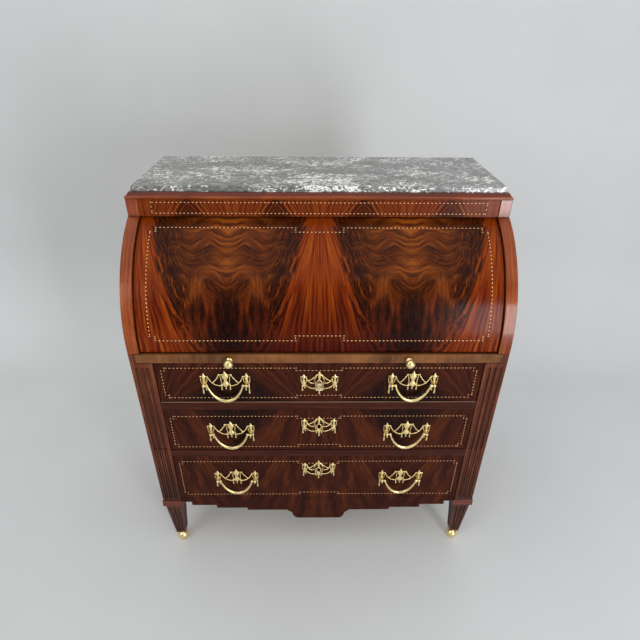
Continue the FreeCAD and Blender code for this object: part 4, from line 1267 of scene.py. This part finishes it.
@dataclass
class Garland(SubAssembly):
    """A cast plate of husks, palmettes and end pieces, with draped ropes of beads."""

    drawer: str
    y: float
    handle_x: float
    plate_z: float
    key_z: float
    pins_below: float = 18.0
    rope_lift: float = 2.6
    rope_pitch: float = 3.0

    def ropes(self, brass: Casting, drapes: Sequence[Sequence[Pair]]) -> list[Run]:
        """Runs of the draped ropes, on both sides."""
        return [[brass.at(sign * u, w, self.rope_lift) for u, w in one] for one in drapes for sign in (1, -1)]

    def handle(self, x: float, brass: Casting) -> list[Run]:
        """The plate behind a bail.

        Args:
            x: middle of the plate.
            brass: the casting that the plate is part of.

        Returns:
            Runs of its ropes.
        """
        brass.place = (x, self.y, self.plate_z)
        brass.stem(0, ((10, 7.5), (13, 6.0), (17, 3.2), (19, 1.6)), 2.6)
        brass.bead(0, 20.3, 2.6)
        brass.ribbon(((-17, 10.5), (-8, 10), (0, 9.6), (8, 10), (17, 10.5)), 1.9, 2.6, 2.2)
        vase = ((9, 7.0), (5, 9.6), (1, 9.0), (-4, 6.0), (-9, 3.8), (-13, 4.8), (-18, 8.2), (-22, 10.0),
                (-26, 8.8), (-30, 3.6))
        brass.stem(0, vase, 2.2)
        brass.rosette(0, -22.0, 5.4, 5.0)
        brass.rosette(0, 3.6, 4.6, 4.8)
        brass.tassel(0, -29, -39, 2.4)
        for sign in (1, -1):
            brass.bead(sign * 16.5, 10.5, 2.8)
            brass.ribbon(((sign * 14, 10), (sign * 11.6, -4), (sign * 10.6, -20)), 1.5, 2.4, 1.6)
            brass.tassel(sign * 11.4, -20, -43, 2.3)
            self.end_piece(brass, sign, 57.0)
        return self.ropes(brass, (drape((16.5, 10), (24, -7), (35, -17)),
                                  drape((47, 4), (38, -27), (11, -27))))

    def end_piece(self, brass: Casting, sign: int, u: float) -> None:
        """The pin's post with its rosette, its cap above and the tassels below.

        Args:
            brass: the casting that the plate is part of.
            sign: 1 at the right end of the plate, -1 at the left.
            u: distance from the plate's middle.
        """
        def ribbon(points: Sequence[Pair], *section: float) -> None:
            """A ribbon beside this end of the plate."""
            brass.ribbon([(sign * (u + out), w) for out, w in points], *section)

        place = sign * u
        brass.stem(place, ((4, 6.5), (7, 5.4), (10, 2.8), (12, 1.6)), 2.4)
        brass.bead(place, 13.2, 2.4)
        ribbon(((-10, 5), (-4, 4.4), (4, 4.4), (10, 5)), 1.9, 2.6, 2.2)
        vase = ((4, 4.4), (-2, 5.0), (-8, 2.8), (-13, 4.2), (-20, 6.4), (-26, 5.6), (-32, 2.2))
        brass.stem(place, vase, 2.4)
        ribbon(((9, 4), (8.6, -8), (7, -20), (4, -26)), 1.4, 2.2, 1.6)
        ribbon(((-9, 4), (-8, -8), (-6, -17), (-3, -24)), 1.4, 2.2, 1.6)
        brass.tassel(sign * (u + 5.2), -24, -56, 2.7)
        brass.tassel(sign * (u - 3.6), -28, -44, 2.3)
        brass.rosette(place, -self.pins_below, 6.6, 5.0)
        post = ((4.6, 0.0), (4.5, 8.0), (3.6, 9.5), (4.3, 11.0), (4.5, 16.0), (3.4, 17.6), (1.6, 18.3),
                (0.0, 18.4))
        brass.turn(post, brass.at(place, -self.pins_below))

    def escutcheon(self, brass: Casting) -> list[Run]:
        """The plate round a keyhole.

        Args:
            brass: the casting that the plate is part of.

        Returns:
            Runs of its ropes.
        """
        brass.place = (0.0, self.y, self.key_z)
        count = 28
        oval = [2 * math.pi * i / count for i in range(count)]
        brass.sweep([brass.at(6.6 * math.cos(c), -3 + 10.5 * math.sin(c), 1.6) for c in oval], [1.8] * count,
                    [2.0] * count, closed=True)
        brass.ribbon(((-15, 6), (-11, 15), (-7, 24), (0, 30), (7, 24), (11, 15), (15, 6)), 1.8, 2.4, 2.0)
        brass.stem(0, ((28, 5.0), (31, 4.2), (34, 2.0)), 2.6)
        brass.bead(0, 35.4, 2.8)
        brass.stem(0, ((29, 1.6), (23, 3.4), (17, 4.0), (12, 2.2), (7, 3.0)), 2.4)
        brass.rosette(0, 19.0, 3.4, 5.2)
        brass.stem(0, ((-13, 4.0), (-18, 6.2), (-23, 4.4), (-28, 2.0)), 2.4)
        brass.tassel(0, -27, -39, 2.8)
        for sign in (1, -1):
            brass.ribbon(((sign * 12, 6), (sign * 10, -4), (sign * 9.5, -12), (sign * 7, -20)), 1.5, 2.2, 1.6)
            brass.tassel(sign * 7.4, -16, -29, 2.0)
            brass.stem(sign * 42, ((19, 6.5), (22, 5.2), (25, 2.0)), 2.4)
            brass.bead(sign * 42, 26.2, 2.3)
            brass.ribbon([(sign * u, w) for u, w in ((33, 20), (38, 19.5), (46, 19.5), (51, 20))],
                         1.9, 2.6, 2.2)
            for out in (-7.2, 7.2):
                brass.ribbon([(sign * (42 + out * share), w) for share, w in ((1, 20), (0.95, 6), (0.5, -8))],
                             1.5, 2.2, 1.6)
            brass.stem(sign * 42, ((18, 3.4), (10, 2.4), (2, 4.6), (-6, 5.6), (-12, 2.6)), 2.4)
            brass.rosette(sign * 42, -1.0, 4.6, 5.2)
            brass.tassel(sign * 46, -8, -29, 2.6)
            brass.tassel(sign * 39, -8, -19, 2.2)
        return self.ropes(brass, (drape((7, 27), (17, 12), (31, 6)), drape((35, 16), (28, -4), (15, -1)),
                                  drape((37, -7), (26, -23), (9, -19))))

    def build(self, bureau: Bureau) -> None:
        """Casts both handle plates and the escutcheon of a drawer, and drapes their ropes.

        Args:
            bureau: the loaded frame.
        """
        brass = Casting(0.0, self.y, 0.0)
        runs = [run for sign in (1, -1) for run in self.handle(sign * self.handle_x, brass)]
        runs += self.escutcheon(brass)
        name = self.drawer
        bureau.stand_in(brass.finish(name + "_garlands"), name, name + "_brass_plates")
        ropes = BeadRope(name + "_rope_pattern", self.rope_pitch).lay(name + "_ropes", runs)
        bureau.stand_in(ropes, name)


@dataclass
class Drawer(SubAssembly):
    """A long drawer with its veneer, inlay, garlands and bails."""

    name: str
    face: float
    plate_z: float
    key_z: float
    veneer: FlameVeneer
    inlay_low: float
    inlay_high: float
    inlay_half: float = 420.0
    handle_x: float = 252.0
    middle_half: float = 61.0
    middle_inset: float = 8.0

    def build(self, bureau: Bureau) -> None:
        """Dresses the drawer and builds its brasses.

        Args:
            bureau: the loaded frame.
        """
        finishes = {"_front": self.veneer, "_box": OAK_BACK, "_lock": IRON}
        bureau.keep({self.name + part: finish for part, finish in finishes.items()})
        InlayPanel(self.name + "_inlay", self.name, self.inlay_half, self.inlay_low, self.inlay_high,
                   self.middle_half, self.middle_inset, face=self.face).build(bureau)
        garland = Garland(self.name, self.face, self.handle_x, self.plate_z, self.key_z)
        garland.build(bureau)
        for side, sign in (("left", -1), ("right", 1)):
            Bail(f"{self.name}_{side}_bail", sign * self.handle_x, self.face,
                 self.plate_z - garland.pins_below).build(bureau)


@dataclass
class DrawerKey(SubAssembly):
    """The key in the upper drawer: an oval bow with a small eye and a collared shaft."""

    z: float = 703.0
    bow: Pair = (13.5, 10.0)
    bow_half_thick: float = 1.5
    eye: float = 3.0

    def build(self, bureau: Bureau) -> None:
        """Builds the key and makes it ride on its body.

        Args:
            bureau: the loaded frame.
        """
        low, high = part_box("drawer_key")
        front = low.y / MM + MIDDLE_OF_DEPTH
        brass = Casting(0.0, front, self.z)
        turns = 28
        section = ((0.0, 1.0), (0.3, 1.0), (0.75, 0.85), (1.0, 0.0), (0.75, -0.85), (0.3, -1.0), (0.0, -1.0))
        bow_middle = -self.bow[1]
        rings = []
        for i in range(turns):
            c = 2 * math.pi * i / turns
            ring = []
            for share, side in section:
                half_x = self.eye + (self.bow[0] - self.eye) * share
                half_y = self.eye + (self.bow[1] - self.eye) * share
                ring.append(brass.at(half_x * math.cos(c), side * self.bow_half_thick,
                                     bow_middle + half_y * math.sin(c)))
            rings.append(ring)
        brass.skin(rings, closed=True)
        length = (high.y - low.y) / MM
        shaft = ((2.0, 18.0), (2.75, 19.0), (2.75, 21.5), (4.6, 22.2), (4.6, 23.6), (3.0, 24.4), (4.0, 25.2),
                 (4.0, 26.2), (2.75, 27.0), (2.75, length - 0.6), (2.1, length), (0.0, length))
        brass.turn(shaft, brass.at(0, 0), -OUTWARD, 16)
        bureau.stand_in(brass.finish("drawer_key_cast", LIT_KEY_BRASS), "key", "drawer_key")


# Radius and distance from the front of two turned knobs
SLIDE_KNOB = (
    (0.0, 0.0), (8.0, 0.0), (8.0, 1.2), (6.6, 2.4), (4.2, 4.0), (3.5, 5.2), (3.5, 6.4), (4.9, 7.2),
    (4.9, 8.4), (3.6, 9.4), (4.6, 10.4), (7.6, 11.6), (9.8, 13.4), (11.9, 15.8), (12.6, 18.4), (11.9, 21.2),
    (9.8, 24.0), (6.6, 26.0), (3.2, 26.9), (0.0, 27.0))
NEST_KNOB = (
    (0.0, 0.0), (4.8, 0.0), (4.8, 0.8), (4.0, 1.6), (2.9, 2.8), (2.6, 4.4), (3.0, 6.0), (4.8, 7.4),
    (6.0, 9.2), (5.9, 11.0), (4.7, 12.8), (2.6, 13.8), (0.0, 14.0))


@dataclass
class WritingSlide(SubAssembly):
    """The writing slide: cross-grained front with two knobs, board and leather."""

    knob_x: float = 235.0
    knob_z: float = 778.5

    def build(self, bureau: Bureau) -> None:
        """Dresses the slide and turns its knobs.

        Args:
            bureau: the loaded frame.
        """
        low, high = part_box("slide_leather")
        middle, half = (low + high) / 2, (high - low) / 2
        leather = TooledLeather("tooled_goatskin", (middle.x / MM, middle.y / MM), (half.x / MM, half.y / MM))
        bureau.keep({"slide_front": SLIDE_WOOD, "slide_board": SLIDE_BOARD_WOOD, "slide_leather": leather,
                     "slide_brackets": IRON})
        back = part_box("slide_knobs")[1].y / MM + MIDDLE_OF_DEPTH
        brass = Casting(0.0, back, self.knob_z)
        for sign in (1, -1):
            brass.place = (sign * self.knob_x, back, self.knob_z)
            brass.turn(SLIDE_KNOB, brass.at(0, 0), sides=32)
        bureau.stand_in(brass.finish("slide_knobs_turned"), "writing_slide", "slide_knobs")


@dataclass
class Nest(SubAssembly):
    """The three small drawers behind the fall, each with a turned knob."""

    def build(self, bureau: Bureau) -> None:
        """Dresses each drawer and turns its knob.

        Args:
            bureau: the loaded frame.
        """
        for side in ("left", "middle", "right"):
            bureau.keep({f"nest_drawer_{side}": NEST_ACROSS})
            low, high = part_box(f"nest_knob_{side}")
            centre = (low + high) / 2 / MM
            brass = Casting(centre.x, high.y / MM + MIDDLE_OF_DEPTH, centre.z)
            brass.turn(NEST_KNOB, brass.at(0, 0), sides=32)
            bureau.stand_in(brass.finish(f"nest_knob_{side}_turned"), f"nest_drawer_{side}_body",
                            f"nest_knob_{side}")


@dataclass
class Feet(SubAssembly):
    """Four turned brass feet: a ball below a collared neck."""

    x: float = 466.0
    front_y: float = 29.0
    rear_y: float = 493.0
    ball: float = 18.0
    height: float = 44.0

    def profile(self) -> list[Pair]:
        """Draws the foot's outline.

        Returns:
            Radius and height at each step, from the floor up.
        """
        flat = 1.0
        ball = [(self.ball * math.sin(a), self.ball - flat - self.ball * math.cos(a))
                for a in (math.radians(20 + 6.5 * i) for i in range(21))]
        neck = [(8.0, 36.0), (8.6, 36.6), (10.8, 38.0), (12.6, 40.2), (13.0, 41.4), (13.0, self.height)]
        return [(0.0, 0.0), (6.0, 0.0)] + ball + neck + [(0.0, self.height)]

    def build(self, bureau: Bureau) -> None:
        """Turns the feet and makes them ride on the carcass.

        Args:
            bureau: the loaded frame.
        """
        brass = Casting(0.0, 0.0, 0.0)
        for y in (self.front_y, self.rear_y):
            for sign in (1, -1):
                brass.turn(self.profile(), row(sign * self.x, y, 0.0), UPWARD, 32)
        bureau.stand_in(brass.finish("brass_feet_turned"), "carcass", "brass_feet")


@dataclass
class RailLedge(SubAssembly):
    """The front of a rail's upper face, which shows below a drawer that is set back: painted pale as a
    highlight.
    """

    name: str
    z: float
    depth: float
    half: float = 436.0
    thick: float = 0.3
    arris: float = 1.0

    def build(self, bureau: Bureau) -> None:
        """Lays the strip, painted pale as a highlight, on its rail.

        Args:
            bureau: the loaded frame.
        """
        strip = Casting(0.0, 0.0, self.z)
        ends = [strip.at(sign * self.half, self.thick / 2, -self.depth / 2 - self.arris) for sign in (-1, 1)]
        strip.sweep(ends, [self.thick / 2] * 2, [self.depth / 2] * 2)
        bureau.stand_in(strip.finish(self.name, LEDGE_HIGHLIGHT_WOOD), "carcass")


@dataclass
class Carcass(SubAssembly):
    """The standing body: posts, boards, cheeks, frieze, cornice and marble."""

    frieze_face: float = 192.87

    def build(self, bureau: Bureau) -> None:
        """Dresses the boards and lays the frieze's inlay.

        Args:
            bureau: the loaded frame.
        """
        bureau.keep(CARCASS_FINISHES)
        InlayPanel("frieze_inlay", "carcass", 432.0, 1107.0, 1135.5, notch=0.0, face=self.frieze_face,
                   width=1.7).build(bureau)
        RailLedge("upper_rail_ledge", 634.0, 2.8).build(bureau)
        Feet().build(bureau)


@dataclass
class Fall(SubAssembly):
    """The quarter-round fall with its levers and inlay."""

    def build(self, bureau: Bureau) -> None:
        """Dresses the fall and lays its inlay along the round.

        Args:
            bureau: the loaded frame.
        """
        bureau.keep({"fall_shell": FLAME_FALL, "fall_levers": IRON})
        InlayPanel("fall_inlay", "fall", 433.0, 28.0, 330.0, 62.0, 14.0, 13.0, axis=FALL_AXIS,
                   width=1.7).build(bureau)


DRAWERS = (
    Drawer("upper_drawer", 4.0, 720.0, 703.0, FLAME_UPPER, 649.0, 750.0),
    Drawer("middle_drawer", 2.0, 543.0, 547.0, FLAME_LOWER, 463.0, 582.0),
    Drawer("lower_drawer", 2.0, 347.0, 368.0, FLAME_LOWER, 253.0, 400.0),
)


# ---- studio ----


@dataclass
class SoftLamp:
    """A large soft lamp aimed at a point."""

    name: str
    place: tuple[float, float, float]
    aim: tuple[float, float, float]
    size: Pair
    watts: float
    colour: str = "#FFFFFF"

    def build(self) -> None:
        """Hangs the lamp."""
        lamp = bpy.data.lights.new(self.name, "AREA")
        lamp.shape = "RECTANGLE"
        lamp.size, lamp.size_y = self.size
        lamp.energy = self.watts
        lamp.color = linear(self.colour)[:3]
        stand = bpy.data.objects.new(self.name, lamp)
        bpy.context.scene.collection.objects.link(stand)
        place = Vector(self.place)
        turn = (Vector(self.aim) - place).to_track_quat("-Z", "Y").to_matrix().to_4x4()
        stand.matrix_world = Matrix.Translation(place) @ turn


@dataclass
class Studio:
    """Pale floor with a coved backdrop, soft lamps and the camera."""

    half_width: float = 6.0
    front: float = -6.0
    wall: float = 1.15
    cove: float = 0.5
    wall_height: float = 4.0
    camera_place: tuple[float, float, float] = (-0.0161, -1.26995, 1.5301)
    lens: float = 27.297
    sensor: float = 36.0
    pan: float = -0.907
    tilt: float = -31.538
    roll: float = -0.499
    air: str = "#D6D8DA"
    air_strength: float = 0.45
    lamps: tuple[SoftLamp, ...] = (
        SoftLamp("overhead", (0.0, -0.9, 4.2), (0.0, -0.6, 0.0), (7.0, 6.0), 105.0),
        SoftLamp("window", (1.75, -3.1, 0.9), (0.3, 0.0, 0.9), (0.8, 1.7), 56.0, "#F6FAFF"),
        SoftLamp("fill", (-3.0, -3.2, 2.5), (0.0, 0.0, 0.8), (2.6, 2.2), 38.0),
    )

    def backdrop(self) -> None:
        """Builds the floor and the backdrop as one coved sheet."""
        profile = [(self.front, 0.0), (self.wall - self.cove, 0.0)]
        steps = 16
        for i in range(1, steps + 1):
            a = math.pi / 2 * i / steps
            profile.append((self.wall - self.cove + self.cove * math.sin(a), self.cove * (1 - math.cos(a))))
        profile.append((self.wall, self.wall_height))
        points = [(x, y, z) for y, z in profile for x in (-self.half_width, self.half_width)]
        faces = [(2 * i, 2 * i + 1, 2 * i + 3, 2 * i + 2) for i in range(len(profile) - 1)]
        mesh = bpy.data.meshes.new("studio_floor")
        mesh.from_pydata(points, [], faces)
        mesh.shade_smooth()
        dress(place_piece("studio_floor", mesh), StudioPaint("studio_paint"))

    def camera(self) -> None:
        """Sets the camera at the photograph's place and angle."""
        data = bpy.data.cameras.new("camera")
        data.lens, data.sensor_width = self.lens, self.sensor
        data.clip_start, data.clip_end = 0.05, 50.0
        stand = bpy.data.objects.new("camera", data)
        bpy.context.scene.collection.objects.link(stand)
        stand.matrix_world = Matrix.Translation(Vector(self.camera_place))
        for degrees, axis in ((self.pan, "Z"), (self.tilt, "X"), (self.roll, "Y"), (90.0, "X")):
            stand.matrix_world = stand.matrix_world @ Matrix.Rotation(math.radians(degrees), 4, axis)
        bpy.context.scene.camera = stand

    def build(self) -> None:
        """Sets up the whole studio."""
        self.backdrop()
        for lamp in self.lamps:
            lamp.build()
        world = bpy.data.worlds.new("studio_air")
        world.use_nodes = True
        world.node_tree.nodes.clear()
        air = add(world.node_tree, "Background", (linear(self.air), self.air_strength))
        add(world.node_tree, "OutputWorld", {"Surface": air})
        bpy.context.scene.world = world
        bpy.context.scene.view_settings.view_transform = "Standard"
        self.camera()


def main() -> None:
    """Builds every sub-assembly round the frame, then the studio, and notes the sizes."""
    logging.basicConfig(level=logging.INFO, format="%(name)s: %(message)s")
    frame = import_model()
    bureau = Bureau(frame)
    for part in (Carcass(), Fall(), WritingSlide(), *DRAWERS, DrawerKey(), Nest()):
        part.build(bureau)
    Studio().build()


if __name__ == "__main__":
    main()
